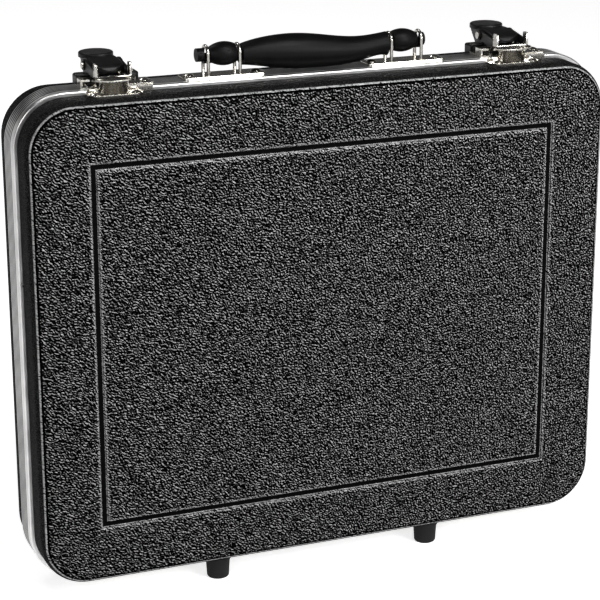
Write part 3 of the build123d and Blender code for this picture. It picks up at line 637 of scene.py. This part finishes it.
@dataclass(frozen=True)
class ExtrudedAluminium(Finish):
    """Satin aluminium extrusion with drawn lines along its run and painted shade in the grooves
    between its ribs.

    Attributes:
        back: The depth of the base's aluminium edge at its back, in millimetres.
        rib_pitch: The distance between its rib grooves.
        ribs: How many grooves it has.
        groove_half: Half the width of the painted shade's line in a groove.
        colour: Its colour where it is cleanest.
        dull: Its colour where it is dullest.
        rib_groove_shade: The painted shade's colour in the grooves.
        line: The size of one drawn line along each axis, in millimetres.
        line_roughness: How much the lines' finer octaves show.
        line_relief: Their height, in millimetres.
        patch_scale: The scale of the dull patches.
        satin: The least and the most roughness that the lines give.
        dull_satin: What a dull patch adds to it.
        rib_groove_satin: What a groove adds to it, under its painted shade.
        pull: How far its reflections are drawn out along the lines.
        edge: The rounding of its edges, in millimetres.
    """

    name: ClassVar[str] = "satin_edge_aluminium"

    back: float
    rib_pitch: float = 2.7167
    ribs: int = 5
    groove_half: float = 0.85
    colour: Colour = (0.80, 0.795, 0.79, 1.0)
    dull: Colour = (0.62, 0.615, 0.61, 1.0)
    rib_groove_shade: Colour = (0.010, 0.010, 0.010, 1.0)
    line: Triple = (60.0, 0.22, 60.0)
    line_roughness: float = 0.7
    line_relief: float = 0.02
    patch_scale: float = 0.06
    satin: Pair = (0.24, 0.38)
    dull_satin: float = 0.06
    rib_groove_satin: float = 0.3
    pull: float = 0.35
    edge: float = 0.22

    def paint(self, board: FinishBoard, place: Socket) -> None:
        """Sets the shader's sockets from the drawn lines, the dull patches and the grooves."""
        drawn = board.cloud(board.stretch(place, self.line), 1.0, self.line_roughness)
        patch = board.span(board.cloud(place, self.patch_scale), *CLOUD_SPAN)
        unshaded = self.unshaded(board, place)
        metal = board.blend(patch, self.dull, self.colour)
        satin = board.sum(
            "ADD",
            board.span(drawn, 0.25, 0.75, *self.satin),
            board.sum("MULTIPLY", patch, self.dull_satin),
        )
        board.set(
            # The rib grooves are painted in shade: near black and rougher.
            Base_Color=board.blend(unshaded, self.rib_groove_shade, metal),
            Metallic=1.0,
            Roughness=board.sum("ADD", satin, board.span(unshaded, 0, 1, self.rib_groove_satin, 0)),
            Anisotropic=self.pull,
            Normal=board.relief(drawn, self.line_relief, board.eased_edges(self.edge)),
        )

    def unshaded(self, board: Board, place: Input) -> Socket:
        """Finds the metal between the rib grooves, outside their painted shade.

        Args:
            board: The material's nodes.
            place: The place, in millimetres.

        Returns:
            0 in a groove and 1 elsewhere.
        """
        depth = board.sum("SUBTRACT", self.back, board.axis(place, "Y"))
        count = board.sum("DIVIDE", depth, self.rib_pitch)
        from_first = board.sum("MAXIMUM", board.sum("ROUND", count), 1.0)
        nearest = board.sum("MINIMUM", from_first, self.ribs)
        apart = board.sum("ABSOLUTE", board.sum("SUBTRACT", count, nearest))
        off = board.sum("MULTIPLY", apart, self.rib_pitch)
        return board.span(off, self.groove_half * 0.4, self.groove_half * 1.2)


@dataclass(frozen=True)
class BrightNickel(Finish):
    """Bright nickel plate with faint polishing marks and handling haze.

    Attributes:
        colour: Its colour where it is free of haze.
        warm: Its colour under haze.
        haze_scale: The scale of the haze.
        haze_span: The levels between which the colour turns warm.
        gloss: The roughness where it is free of haze and where it is under haze.
        mark: The size of one polishing mark along each axis, in millimetres.
        mark_roughness: How much the marks' finer octaves show.
        mark_gloss: The roughness that the marks add.
        mark_relief: Their height, in millimetres.
        edge: The rounding of its edges, in millimetres.
    """

    name: ClassVar[str] = "bright_nickel_plate"

    colour: Colour = (0.68, 0.665, 0.63, 1.0)
    warm: Colour = (0.48, 0.45, 0.385, 1.0)
    haze_scale: float = 0.35
    haze_span: Pair = (0.35, 0.75)
    gloss: Pair = (0.09, 0.2)
    mark: Triple = (5.0, 0.3, 0.3)
    mark_roughness: float = 0.7
    mark_gloss: float = 0.06
    mark_relief: float = 0.008
    edge: float = 0.25

    def paint(self, board: FinishBoard, place: Socket) -> None:
        """Sets the shader's sockets from the haze and the polishing marks."""
        haze = board.cloud(place, self.haze_scale)
        marks = board.cloud(board.stretch(place, self.mark), 1.0, self.mark_roughness)
        hazy = board.span(haze, *CLOUD_SPAN, *self.gloss)
        marked = board.span(marks, *CLOUD_SPAN, 0, self.mark_gloss)
        board.set(
            Base_Color=board.blend(board.span(haze, *self.haze_span), self.colour, self.warm),
            Metallic=1.0,
            Roughness=board.sum("ADD", hazy, marked),
            Normal=board.relief(marks, self.mark_relief, board.eased_edges(self.edge)),
        )


@dataclass(frozen=True)
class BlackMoulding(Finish):
    """Black moulded or japanned surface with a fine even texture.

    Attributes:
        name: The material's name.
        level: The colour's linear level.
        roughness: The roughness where it is least worn.
        texture: The texture's size, in millimetres.
        relief: The texture's height, in millimetres.
        shine: How strongly it reflects.
        edge: The rounding of the edges, in millimetres.
        wander: The scale and the reach of the noise that makes the texture wander.
        wear_scale: The scale of the worn patches.
        worn_level: How much lighter they are.
        worn_roughness: How much rougher they are.
        pit_roughness: How much rougher the texture's pits are.
    """

    name: str
    level: float
    roughness: float
    texture: float
    relief: float
    shine: float
    edge: float = 0.4
    wander: Pair = (1.5, 0.3)
    wear_scale: float = 0.12
    worn_level: float = 1.7
    worn_roughness: float = 0.1
    pit_roughness: float = 0.06

    def paint(self, board: FinishBoard, place: Socket) -> None:
        """Sets the shader's sockets from the texture and the wear."""
        wandering = board.warp(board.stretch(place, (self.texture,) * 3), *self.wander)
        cells = board.cells(wandering, "F1")
        worn = board.cloud(place, self.wear_scale)
        wear = board.span(worn, 0.3, 0.75, self.roughness, self.roughness + self.worn_roughness)
        pits = board.span(cells, 0.0, 0.8, 0.0, self.pit_roughness)
        bumps = board.span(cells, 0.0, 0.7, 1.0, 0.0)
        lighter = grey(self.level * self.worn_level)
        board.set(
            Base_Color=board.blend(board.span(worn, 0.4, 0.8), grey(self.level), lighter),
            Roughness=board.sum("ADD", wear, pits),
            Specular_IOR_Level=self.shine,
            Normal=board.relief(bumps, self.relief, board.eased_edges(self.edge)),
        )


@dataclass(frozen=True)
class FlockedFoam(Finish):
    """Dark flocked foam: short soft nap over open cells.

    Attributes:
        nap: The size of one tuft of the nap, in millimetres.
        nap_relief: Its height, in millimetres.
        cell: The size of one cell along each axis, in millimetres.
        cell_relief: Its depth, in millimetres.
        brush_scale: The scale of the patches where the nap lies another way.
        brushed: How light the nap is in the darkest patch.
        light: The colour of the tufts' ends.
        dark: The colour between them.
    """

    name: ClassVar[str] = "flocked_foam"

    nap: float = 0.55
    nap_relief: float = 0.35
    cell: Triple = (1.1, 1.1, 1.1)
    cell_relief: float = 0.15
    brush_scale: float = 0.05
    brushed: float = 0.55
    light: Colour = (0.050, 0.050, 0.054, 1.0)
    dark: Colour = (0.017, 0.017, 0.019, 1.0)

    def paint(self, board: FinishBoard, place: Socket) -> None:
        """Sets the shader's sockets from the nap and the cells."""
        nap = board.cloud(place, 1 / self.nap, 0.75, 4.0)
        cells = board.span(board.cells(board.stretch(place, self.cell), "F1"), 0.0, 0.8)
        patch = board.span(board.cloud(place, self.brush_scale), 0.25, 0.75, self.brushed, 1.0)
        fleck = board.sum("MULTIPLY", board.span(nap, *CLOUD_SPAN), patch)
        board.set(
            Base_Color=board.blend(fleck, self.dark, self.light),
            Roughness=board.span(nap, 0.2, 0.8, 0.98, 0.86),
            Specular_IOR_Level=0.2,
            Sheen_Weight=0.35,
            Sheen_Roughness=0.5,
            Normal=board.relief(nap, self.nap_relief, board.relief(cells, self.cell_relief)),
        )


def add_mesh(name: str, mesh: bmesh.types.BMesh) -> bpy.types.Object:
    """Makes a smooth-shaded object of a mesh and links it to the scene.

    Args:
        name: The object's name.
        mesh: Its mesh, which is freed.

    Returns:
        The object.
    """
    bmesh.ops.recalc_face_normals(mesh, faces=mesh.faces)
    data = bpy.data.meshes.new(name)
    mesh.to_mesh(data)
    mesh.free()
    for face in data.polygons:
        face.use_smooth = True
    piece = bpy.data.objects.new(name, data)
    bpy.context.scene.collection.objects.link(piece)
    return piece


def skin_rings(mesh: bmesh.types.BMesh, rings: list[list[Vector]], closed: bool) -> None:
    """Joins rings of points, all with as many points, into a closed skin.

    Args:
        mesh: The mesh that gets them.
        rings: The rings, in order.
        closed: Whether the last ring joins the first, as round a frame; otherwise both are capped.
    """
    verts = [[mesh.verts.new(point) for point in ring] for ring in rings]
    count = len(verts[0])
    spans = len(verts) if closed else len(verts) - 1
    for i in range(spans):
        here, there = verts[i], verts[(i + 1) % len(verts)]
        for j in range(count):
            k = (j + 1) % count
            mesh.faces.new((here[j], here[k], there[k], there[j]))
    if not closed:
        mesh.faces.new(verts[0])
        mesh.faces.new(verts[-1])


def ripple(place: Vector, pitch: float, height: float) -> float:
    """Gives a smooth steady unevenness at a place.

    Args:
        place: The place, in metres.
        pitch: The size of one swell, in metres.
        height: The most that it rises, in metres.

    Returns:
        The rise, in metres.
    """
    return noise.noise(place / pitch) * height


@dataclass
class FoamTray:
    """The base's foam: a floor, a border and the dividers that make the slots.

    Attributes:
        finish: The foam's material.
        edge: The radius that the knife and the nap leave on the edges.
        cell: The mesh's step along a block.
        sag: How far a divider's sides draw in at mid-height.
        unevenness: The height of the surface's slow swells.
        swell: The size of one of them.
        corner_steps: Steps round each rounded edge.
        side_steps: Steps along each side of a block's outline.
        floor_rounding: Depths and insets of the floor's rounded edge, as shares of that radius.
        floor_corner: The radius of the floor's corners.
        border_corner: The radius of the border's outer corners.
        inner_corner: The radius of its inner ones.
        fill: How much of its box the foam fills when it is pressed. Not used.
    """

    finish: bpy.types.Material
    edge: float = 1.6 * MM
    cell: float = 5.0 * MM
    sag: float = 0.35 * MM
    unevenness: float = 0.25 * MM
    swell: float = 23.0 * MM
    corner_steps: int = 4
    side_steps: int = 4
    floor_rounding: tuple[Pair, ...] = ((0.0, 1.0), (0.4, 0.3), (1.0, 0.0))
    floor_corner: float = 20.0 * MM
    border_corner: float = 21.0 * MM
    inner_corner: float = 1.2 * MM
    fill: float = 0.9

    def build(self) -> list[bpy.types.Object]:
        """Builds every pad of the tray.

        Returns:
            The pads.
        """
        pads = [self.floor(), self.border()]
        pads += [self.dividers(node) for node in ("foam_columns", "foam_rows")]
        for pad in pads:
            pad.data.materials.append(self.finish)
            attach(pad, Body.BASE.value)
        return pads

    def block(self, mesh: bmesh.types.BMesh, low: Vector, high: Vector) -> None:
        """Adds one soft block: rounded edges, sides drawn in a little and a slow unevenness.

        Args:
            mesh: The mesh that gets it.
            low: Its lowest corner.
            high: Its highest corner.
        """
        size = high - low
        middle = (low + high) / 2
        along = max(range(3), key=lambda axis: size[axis])
        across, up = [axis for axis in (0, 2, 1) if axis != along]
        stations = self.stations(size[along])
        rings = []
        for offset, inset in stations:
            ring = []
            for u, v in self.outline(size[across] / 2 - inset, size[up] / 2 - inset):
                drawn = self.sag * (1 - (2 * v / size[up]) ** 2)
                point = Vector((0.0, 0.0, 0.0))
                point[along], point[across], point[up] = offset, u - math.copysign(drawn, u), v
                swell = ripple(middle + point, self.swell, self.unevenness)
                point[across] -= math.copysign(abs(swell), u)
                ring.append(middle + point)
            rings.append(ring)
        skin_rings(mesh, rings, closed=False)

    def stations(self, length: float) -> list[Pair]:
        """Gives the places along a block and how far its outline is drawn in there.

        Args:
            length: The block's length.

        Returns:
            Pairs of a place, from the middle, and an inset.
        """
        half = length / 2
        ends = []
        for angle in self.quarter():
            ends.append((self.edge * (1 - math.sin(angle)), self.edge * (1 - math.cos(angle))))
        ends.reverse()
        steps = max(1, round((length - 2 * self.edge) / self.cell))
        inner = half - self.edge
        between = [(-inner + 2 * inner * i / steps, 0.0) for i in range(1, steps)]
        start = [(-half + depth, inset) for depth, inset in ends]
        finish = [(half - depth, inset) for depth, inset in reversed(ends)]
        return start + between + finish

    def outline(self, half_width: float, half_height: float) -> list[Pair]:
        """Gives a rounded rectangle, with points along its sides.

        Args:
            half_width: Half its width.
            half_height: Half its height.

        Returns:
            Its points, in order.
        """
        r = min(self.edge, half_width * 0.9, half_height * 0.9)
        points = []
        for sx, sy, start in CORNERS:
            centre_x, centre_y = sx * (half_width - r), sy * (half_height - r)
            for step in range(self.corner_steps + 1):
                angle = math.radians(start + 90.0 * step / self.corner_steps)
                points.append((centre_x + r * math.cos(angle), centre_y + r * math.sin(angle)))
            last_x, last_y = points[-1]
            level = sx == sy
            end_x = -sx * (half_width - r) if level else last_x
            end_y = last_y if level else -sy * (half_height - r)
            for step in range(1, self.side_steps):
                share = step / self.side_steps
                x = last_x + (end_x - last_x) * share
                y = last_y + (end_y - last_y) * share
                points.append((x, y))
        return points

    def floor(self) -> bpy.types.Object:
        """Builds the thin layer that the slots end on.

        Returns:
            The floor pad.
        """
        low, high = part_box("foam_floor")
        mesh = bmesh.new()
        rings = []
        for depth_share, inset_share in self.floor_rounding:
            depth, inset = self.edge * depth_share, self.edge * inset_share
            rings.append(self.rounded_loop(low, high, self.floor_corner, inset, low.y + depth))
        rings.append(self.rounded_loop(low, high, self.floor_corner, 0.0, high.y))
        skin_rings(mesh, rings, closed=False)
        pad = add_mesh("foam_floor_pad", mesh)
        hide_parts("foam_floor")
        return pad

    def rounded_loop(
        self, low: Vector, high: Vector, corner: float, inset: float, y: float, steps: int = 8
    ) -> list[Vector]:
        """Gives a rounded rectangle at one depth of the case.

        Args:
            low: The rectangle's lowest corner.
            high: Its highest corner.
            corner: Its corner's radius.
            inset: How far it is drawn in.
            y: Its depth.
            steps: Steps round each corner.

        Returns:
            Its points, in order.
        """
        middle_x, middle_z = (low.x + high.x) / 2, (low.z + high.z) / 2
        half_x, half_z = (high.x - low.x) / 2 - inset, (high.z - low.z) / 2 - inset
        radius = max(corner - inset, 0.2 * MM)
        points = []
        for sx, sz, start in CORNERS:
            for step in range(steps + 1):
                angle = math.radians(start + 90.0 * step / steps)
                x = middle_x + sx * (half_x - radius) + radius * math.cos(angle)
                z = middle_z + sz * (half_z - radius) + radius * math.sin(angle)
                points.append(Vector((x, y, z)))
        return points

    def border(self) -> bpy.types.Object:
        """Builds the frame of foam round the slots.

        Returns:
            The border pad.
        """
        low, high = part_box("foam_border")
        columns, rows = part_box("foam_columns"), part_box("foam_rows")
        inner_low = Vector((rows[0].x, low.y, columns[0].z))
        inner_high = Vector((rows[1].x, high.y, columns[1].z))
        outer = (low, high, self.border_corner)
        inner = (inner_low, inner_high, self.inner_corner)
        levels = []
        for angle in self.quarter():
            levels.append((self.edge * (1 - math.cos(angle)), self.edge * (1 - math.sin(angle))))
        rings = [self.rounded_loop(*outer, 0.0, high.y)]
        for inset, depth in levels:
            rings.append(self.rounded_loop(*outer, inset, low.y + depth))
        for inset, depth in reversed(levels):
            rings.append(self.rounded_loop(*inner, -inset, low.y + depth))
        rings.append(self.rounded_loop(*inner, 0.0, high.y))
        mesh = bmesh.new()
        skin_rings(mesh, rings, closed=True)
        pad = add_mesh("foam_border_pad", mesh)
        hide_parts("foam_border")
        return pad

    def quarter(self) -> list[float]:
        """Gives the angles of a quarter turn, in radians."""
        return [math.pi / 2 * step / self.corner_steps for step in range(self.corner_steps + 1)]

    def dividers(self, node: str) -> bpy.types.Object:
        """Builds soft blocks in the places of one node's solids.

        Args:
            node: The construction's node.

        Returns:
            One object that holds the blocks.
        """
        mesh = bmesh.new()
        for low, high in solid_boxes(node):
            self.block(mesh, low, high)
        pad = add_mesh(f"{node}_pads", mesh)
        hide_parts(node)
        return pad


def solid_boxes(node: str) -> list[tuple[Vector, Vector]]:
    """Gives the box of each separate solid of a construction node.

    Args:
        node: The node's name.

    Returns:
        Pairs of a lowest and a highest corner.
    """
    mesh = bmesh.new()
    mesh.from_mesh(frame["nodes"][node].data)
    bmesh.ops.remove_doubles(mesh, verts=mesh.verts, dist=WELD)
    left = set(mesh.verts)
    boxes = []
    while left:
        island, front = set(), [left.pop()]
        while front:
            vert = front.pop()
            island.add(vert)
            for edge in vert.link_edges:
                other = edge.other_vert(vert)
                if other in left:
                    left.discard(other)
                    front.append(other)
        low = Vector(min(vert.co[axis] for vert in island) for axis in range(3))
        high = Vector(max(vert.co[axis] for vert in island) for axis in range(3))
        boxes.append((low, high))
    mesh.free()
    return sorted(boxes, key=lambda pair: (pair[0].x, pair[0].z))


@dataclass
class LidPad:
    """The lid's convoluted foam pad, its soft peaks towards the harmonicas.

    Attributes:
        finish: The foam's material.
        pitch: The distance between peaks.
        relief: The height from a hollow to a peak.
        roundness: How much rounder the hollows are than the peaks.
        step: The mesh's step.
        skirt: How far in the cut edge rounds down.
        skirt_drop: How deep it rounds down, as a share of that.
        corner: The radius of its corners.
        swell: The size of a slow swell.
        unevenness: Its height.
        fill: How much of its box the foam fills when it is pressed. Not used.
    """

    finish: bpy.types.Material
    pitch: float = 19.0 * MM
    relief: float = 5.0 * MM
    roundness: float = 1.3
    step: float = 2.4 * MM
    skirt: float = 2.0 * MM
    skirt_drop: float = 0.8
    corner: float = 20.0 * MM
    swell: float = 31.0 * MM
    unevenness: float = 0.5 * MM
    fill: float = 0.8

    def build(self) -> list[bpy.types.Object]:
        """Builds the pad.

        Returns:
            The pad, alone in a list.
        """
        low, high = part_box("lid_foam")
        mesh = bmesh.new()
        count_x = round((high.x - low.x) / self.step)
        count_z = round((high.z - low.z) / self.step)
        grid = []
        for i in range(count_x + 1):
            row = []
            for j in range(count_z + 1):
                u, v = 2 * i / count_x - 1, 2 * j / count_z - 1
                x, z, margin = self.rounded_place(low, high, u, v)
                row.append(mesh.verts.new((x, high.y - self.hollow(x, z, margin), z)))
            grid.append(row)
        for i in range(count_x):
            for j in range(count_z):
                mesh.faces.new((grid[i][j], grid[i][j + 1], grid[i + 1][j + 1], grid[i + 1][j]))
        rim = [row[0] for row in grid] + grid[-1][1:]
        rim += [row[-1] for row in reversed(grid[:-1])] + list(reversed(grid[0][1:-1]))
        back = [mesh.verts.new((vert.co.x, low.y, vert.co.z)) for vert in rim]
        for k, vert in enumerate(rim):
            after = (k + 1) % len(rim)
            mesh.faces.new((vert, rim[after], back[after], back[k]))
        mesh.faces.new(back)
        pad = add_mesh("lid_foam_pad", mesh)
        pad.data.materials.append(self.finish)
        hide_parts("lid_foam")
        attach(pad, Body.LID.value)
        return [pad]

    def rounded_place(self, low: Vector, high: Vector, u: float, v: float) -> Triple:
        """Fits a place of a square grid into the pad's rounded outline.

        Args:
            low: The pad's lowest corner.
            high: Its highest corner.
            u: The place across, from -1 to 1.
            v: The place up, from -1 to 1.

        Returns:
            The place across and up, and its distance to the nearest edge.
        """
        half_x, half_z = (high.x - low.x) / 2, (high.z - low.z) / 2
        x, z = abs(u) * half_x, abs(v) * half_z
        start_x, start_z = half_x - self.corner, half_z - self.corner
        margin = min(half_x - x, half_z - z)
        if x > start_x and z > start_z:
            along, up = x - start_x, z - start_z
            reach = max(along, up)
            length = math.hypot(along, up)
            x, z = start_x + along * reach / length, start_z + up * reach / length
            margin = self.corner - reach
        middle_x, middle_z = (low.x + high.x) / 2, (low.z + high.z) / 2
        return middle_x + math.copysign(x, u), middle_z + math.copysign(z, v), margin

    def hollow(self, x: float, z: float, margin: float) -> float:
        """Gives how far the surface lies below the peaks.

        Args:
            x: The place across.
            z: The place up.
            margin: The distance to the pad's nearest edge.

        Returns:
            The depth.
        """
        wave = (2 + math.cos(math.tau * x / self.pitch) + math.cos(math.tau * z / self.pitch)) / 4
        cut_edge = max(0.0, 1 - margin / self.skirt) ** 2
        swell = abs(ripple(Vector((x, 0.0, z)), self.swell, self.unevenness))
        hollow = self.relief * (1 - wave**self.roundness)
        return hollow + self.skirt * cut_edge * self.skirt_drop + swell


@dataclass
class LatchHooks:
    """The two draw hooks, with a full bell under the disc and black arms that are a painted dark
    reflection of their chrome.

    Attributes:
        finish: The bright finish of the bell, the bar and the posts.
        arm_dark_reflection: The black finish of the arms, a painted dark reflection.
        bell_top: The height of the bell's disc over the aluminium edge.
        wider: How much wider the bell is than the construction's plain one.
        deeper: How much deeper it is.
        post_depth: How far back the bright posts reach from the front of the arms.
        sharp_from: The angle between faces, in degrees, from which an edge stays sharp.
    """

    finish: bpy.types.Material
    arm_dark_reflection: bpy.types.Material
    bell_top: float = 6.5 * MM
    wider: float = 1.38
    deeper: float = 1.15
    post_depth: float = 3.4 * MM
    sharp_from: float = 35.0

    def build(self) -> list[bpy.types.Object]:
        """Builds both hooks.

        Returns:
            The hooks.
        """
        return [self.hook(side) for side in Side]

    def hook(self, side: Side) -> bpy.types.Object:
        """Builds one hook from the construction's, with a fuller bell.

        Args:
            side: The end of the case that it is at.

        Returns:
            The hook.
        """
        node = f"latch_hook_{side.value}"
        low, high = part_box(node)
        middle = (low.x + high.x) / 2
        disc_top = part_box("base_valance")[1].z + self.bell_top
        mesh = bmesh.new()
        mesh.from_mesh(frame["nodes"][node].data)
        bmesh.ops.remove_doubles(mesh, verts=mesh.verts, dist=WELD)
        bell = [vert for vert in mesh.verts if vert.co.z < disc_top]
        seat = max(vert.co.y for vert in bell)
        for vert in bell:
            vert.co.x = middle + (vert.co.x - middle) * self.wider
            vert.co.y = seat + (vert.co.y - seat) * self.deeper
        piece = add_mesh(f"{node}_bell", mesh)
        piece.data.set_sharp_from_angle(angle=math.radians(self.sharp_from))
        piece.data.materials.append(self.finish)
        piece.data.materials.append(self.arm_dark_reflection)
        # The arms, behind the posts and over the disc, get the black finish as a painted dark
        # reflection of the chrome.
        front = seat + self.post_depth
        for face in piece.data.polygons:
            face.material_index = int(face.center.y > front and face.center.z > disc_top)
        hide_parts(node)
        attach(piece, f"hook_{side.value}")
        return piece


@dataclass
class CarriedPieces:
    """The construction's own rigid pieces, each dressed in the finish of its slot.

    Attributes:
        finishes: The material for each slot.
    """

    finishes: dict[Slot, bpy.types.Material]

    def dress(self) -> int:
        """Gives each shown node its material.

        Returns:
            How many nodes were dressed.
        """
        slots = {entry["node"]: entry["material_slot"] for entry in frame["record"]["subparts"]}
        for node, piece in frame["nodes"].items():
            piece.data.materials.clear()
            piece.data.materials.append(self.finishes[Slot(slots[node])])
            log.info("dressed %s in %s", node, slots[node])
        return len(slots)


@dataclass
class Lamp:
    """One soft box.

    Attributes:
        name: Its name.
        place: Where it hangs.
        width: Its width.
        height: Its height.
        power: Its power in watts.
    """

    name: str
    place: Vector
    width: float
    height: float
    power: float

    def build(self, target: Vector) -> bpy.types.Object:
        """Hangs the lamp, facing the object.

        Args:
            target: The point it faces.

        Returns:
            The lamp.
        """
        data = bpy.data.lights.new(self.name, "AREA")
        data.shape = "RECTANGLE"
        data.size, data.size_y = self.width, self.height
        data.energy = self.power
        lamp = bpy.data.objects.new(self.name, data)
        lamp.location = self.place
        lamp.rotation_euler = (target - self.place).to_track_quat("-Z", "Y").to_euler()
        bpy.context.scene.collection.objects.link(lamp)
        return lamp


@dataclass
class Studio:
    """The pale floor, the white surround, the soft boxes and the camera.

    Attributes:
        floor_half: Half the floor's width.
        floor_colour: The floor's level.
        floor_glow: How far the floor is lifted towards white where it is seen.
        mirrored_glow: How much of that lift a mirror shows.
        ambient: The surround's strength where it lights the object.
        white_until: How steeply up a mirror still shows white.
        dim_from: How steeply up it shows only the ceiling.
        ceiling: The ceiling's strength in a mirror.
        camera_place: Where the photograph was taken from.
        camera_azimuth: The turn that the camera looks along, in degrees.
        camera_elevation: How far it looks down, in degrees.
        focal_pixels: Its focal length, in the photograph's pixels.
        centre_pixel: The pixel straight ahead of it.
        target: The point that the soft boxes face.
    """

    floor_half: float = 12.0
    floor_colour: float = 0.86
    floor_glow: float = 0.70
    mirrored_glow: float = 0.50
    ambient: float = 0.22
    white_until: float = -0.01
    dim_from: float = 0.16
    ceiling: float = 0.05
    camera_place: Triple = (-0.4274, -1.0666, 0.5252)
    camera_azimuth: float = -21.93
    camera_elevation: float = 17.76
    focal_pixels: float = 2039.0
    centre_pixel: Pair = (314.4, 301.0)
    target: Vector = field(default_factory=lambda: Vector((0.0, 0.0, 0.15)))

    def lamps(self) -> Iterable[Lamp]:
        """Lists the soft boxes.

        Returns:
            The lamps, not yet hung.
        """
        return (
            Lamp("front_left_box", Vector((-1.10, -1.30, 0.85)), 0.50, 0.45, 5.5),
            Lamp("front_right_box", Vector((0.50, -1.10, 0.64)), 0.38, 0.32, 8.5),
            Lamp("overhead_box", Vector((0.20, -0.60, 0.98)), 0.50, 0.30, 6.5),
            Lamp("back_box", Vector((-0.6, 1.2, 2.1)), 0.6, 0.6, 8.0),
        )

    def build(self) -> None:
        """Sets up the whole studio."""
        self.surround()
        self.floor()
        for lamp in self.lamps():
            lamp.build(self.target)
        self.camera()
        bpy.context.scene.view_settings.view_transform = "Standard"

    def surround(self) -> None:
        """Makes the world white where it is seen, and for mirrors white below and dim overhead."""
        world = bpy.data.worlds.new("white_surround")
        board = Board(world)
        camera, mirrored = board.rays()
        upward = board.axis(board.add("ShaderNodeTexCoord").outputs["Generated"], "Z")
        room = board.span(upward, self.white_until, self.dim_from, 1.0, self.ceiling)
        seen = board.sum("MAXIMUM", camera, board.sum("MULTIPLY", mirrored, room))
        unseen = board.sum("SUBTRACT", 1.0, board.sum("MAXIMUM", camera, mirrored))
        lighting = board.sum("MULTIPLY", unseen, self.ambient)
        back = board.add("ShaderNodeBackground")
        board.feed(back, "Color", grey(1.0))
        board.feed(back, "Strength", board.sum("ADD", seen, lighting))
        board.feed(board.add("ShaderNodeOutputWorld"), "Surface", back.outputs[0])
        bpy.context.scene.world = world

    def floor(self) -> None:
        """Lays the pale floor, which keeps a soft shadow and is white to the camera."""
        mesh = bmesh.new()
        bmesh.ops.create_grid(mesh, x_segments=4, y_segments=4, size=self.floor_half)
        floor = add_mesh("floor", mesh)
        board = FinishBoard("pale_floor")
        board.set(Base_Color=grey(self.floor_colour), Roughness=0.9, Specular_IOR_Level=0.1)
        camera, mirrored = board.rays()
        shown = board.sum("MAXIMUM", camera, board.sum("MULTIPLY", mirrored, self.mirrored_glow))
        board.set(
            Emission_Color=grey(1.0),
            Emission_Strength=board.sum("MULTIPLY", shown, self.floor_glow),
        )
        floor.data.materials.append(board.material)

    def camera(self) -> None:
        """Sets the camera where the photograph was taken from."""
        data = bpy.data.cameras.new("camera")
        data.sensor_width = 36.0
        data.lens = self.focal_pixels * data.sensor_width / PHOTO_SIDE
        data.shift_x = (PHOTO_SIDE / 2 - self.centre_pixel[0]) / PHOTO_SIDE
        data.shift_y = (self.centre_pixel[1] - PHOTO_SIDE / 2) / PHOTO_SIDE
        camera = bpy.data.objects.new("camera", data)
        camera.location = self.camera_place
        tilt = math.radians(90.0 - self.camera_elevation)
        camera.rotation_euler = (tilt, 0.0, math.radians(self.camera_azimuth))
        bpy.context.scene.collection.objects.link(camera)
        bpy.context.scene.camera = camera


def finishes() -> dict[Slot, bpy.types.Material]:
    """Builds every finish once.

    Returns:
        The material for each slot.
    """
    kinds: dict[Slot, Finish] = {
        Slot.SHELL: GrainedShell(face_plane=CAD_BOX[1].y / MM, half_length=CAD_BOX[1].x / MM),
        Slot.EDGE: ExtrudedAluminium(back=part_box("base_valance")[1].y / MM),
        Slot.NICKEL: BrightNickel(),
        Slot.LATCH: BlackMoulding(
            "satin_black_latch", level=0.004, roughness=0.28, texture=0.5, relief=0.02, shine=0.22
        ),
        Slot.HANDLE: BlackMoulding(
            "satin_black_handle", level=0.0025, roughness=0.34, texture=0.8, relief=0.03, shine=0.09
        ),
        Slot.RUBBER: BlackMoulding(
            "foot_rubber",
            level=0.008,
            roughness=0.62,
            texture=0.45,
            relief=0.05,
            shine=0.2,
            edge=0.5,
        ),
        Slot.FOAM: FlockedFoam(),
    }
    return {slot: kind.build() for slot, kind in kinds.items()}


def main() -> None:
    """Builds the case's looks and the studio round it."""
    logging.basicConfig(level=logging.INFO, format="%(name)s: %(message)s")
    materials = finishes()
    dressed = CarriedPieces(materials).dress()
    makers = (
        FoamTray(materials[Slot.FOAM]),
        LidPad(materials[Slot.FOAM]),
        LatchHooks(materials[Slot.NICKEL], materials[Slot.LATCH]),
    )
    pieces = [piece for maker in makers for piece in maker.build()]
    for piece in pieces:
        log.info("built %s with %d faces", piece.name, len(piece.data.polygons))
    Studio().build()
    log.info("%d nodes dressed and %d pieces built", dressed, len(pieces))


if __name__ == "__main__":
    main()
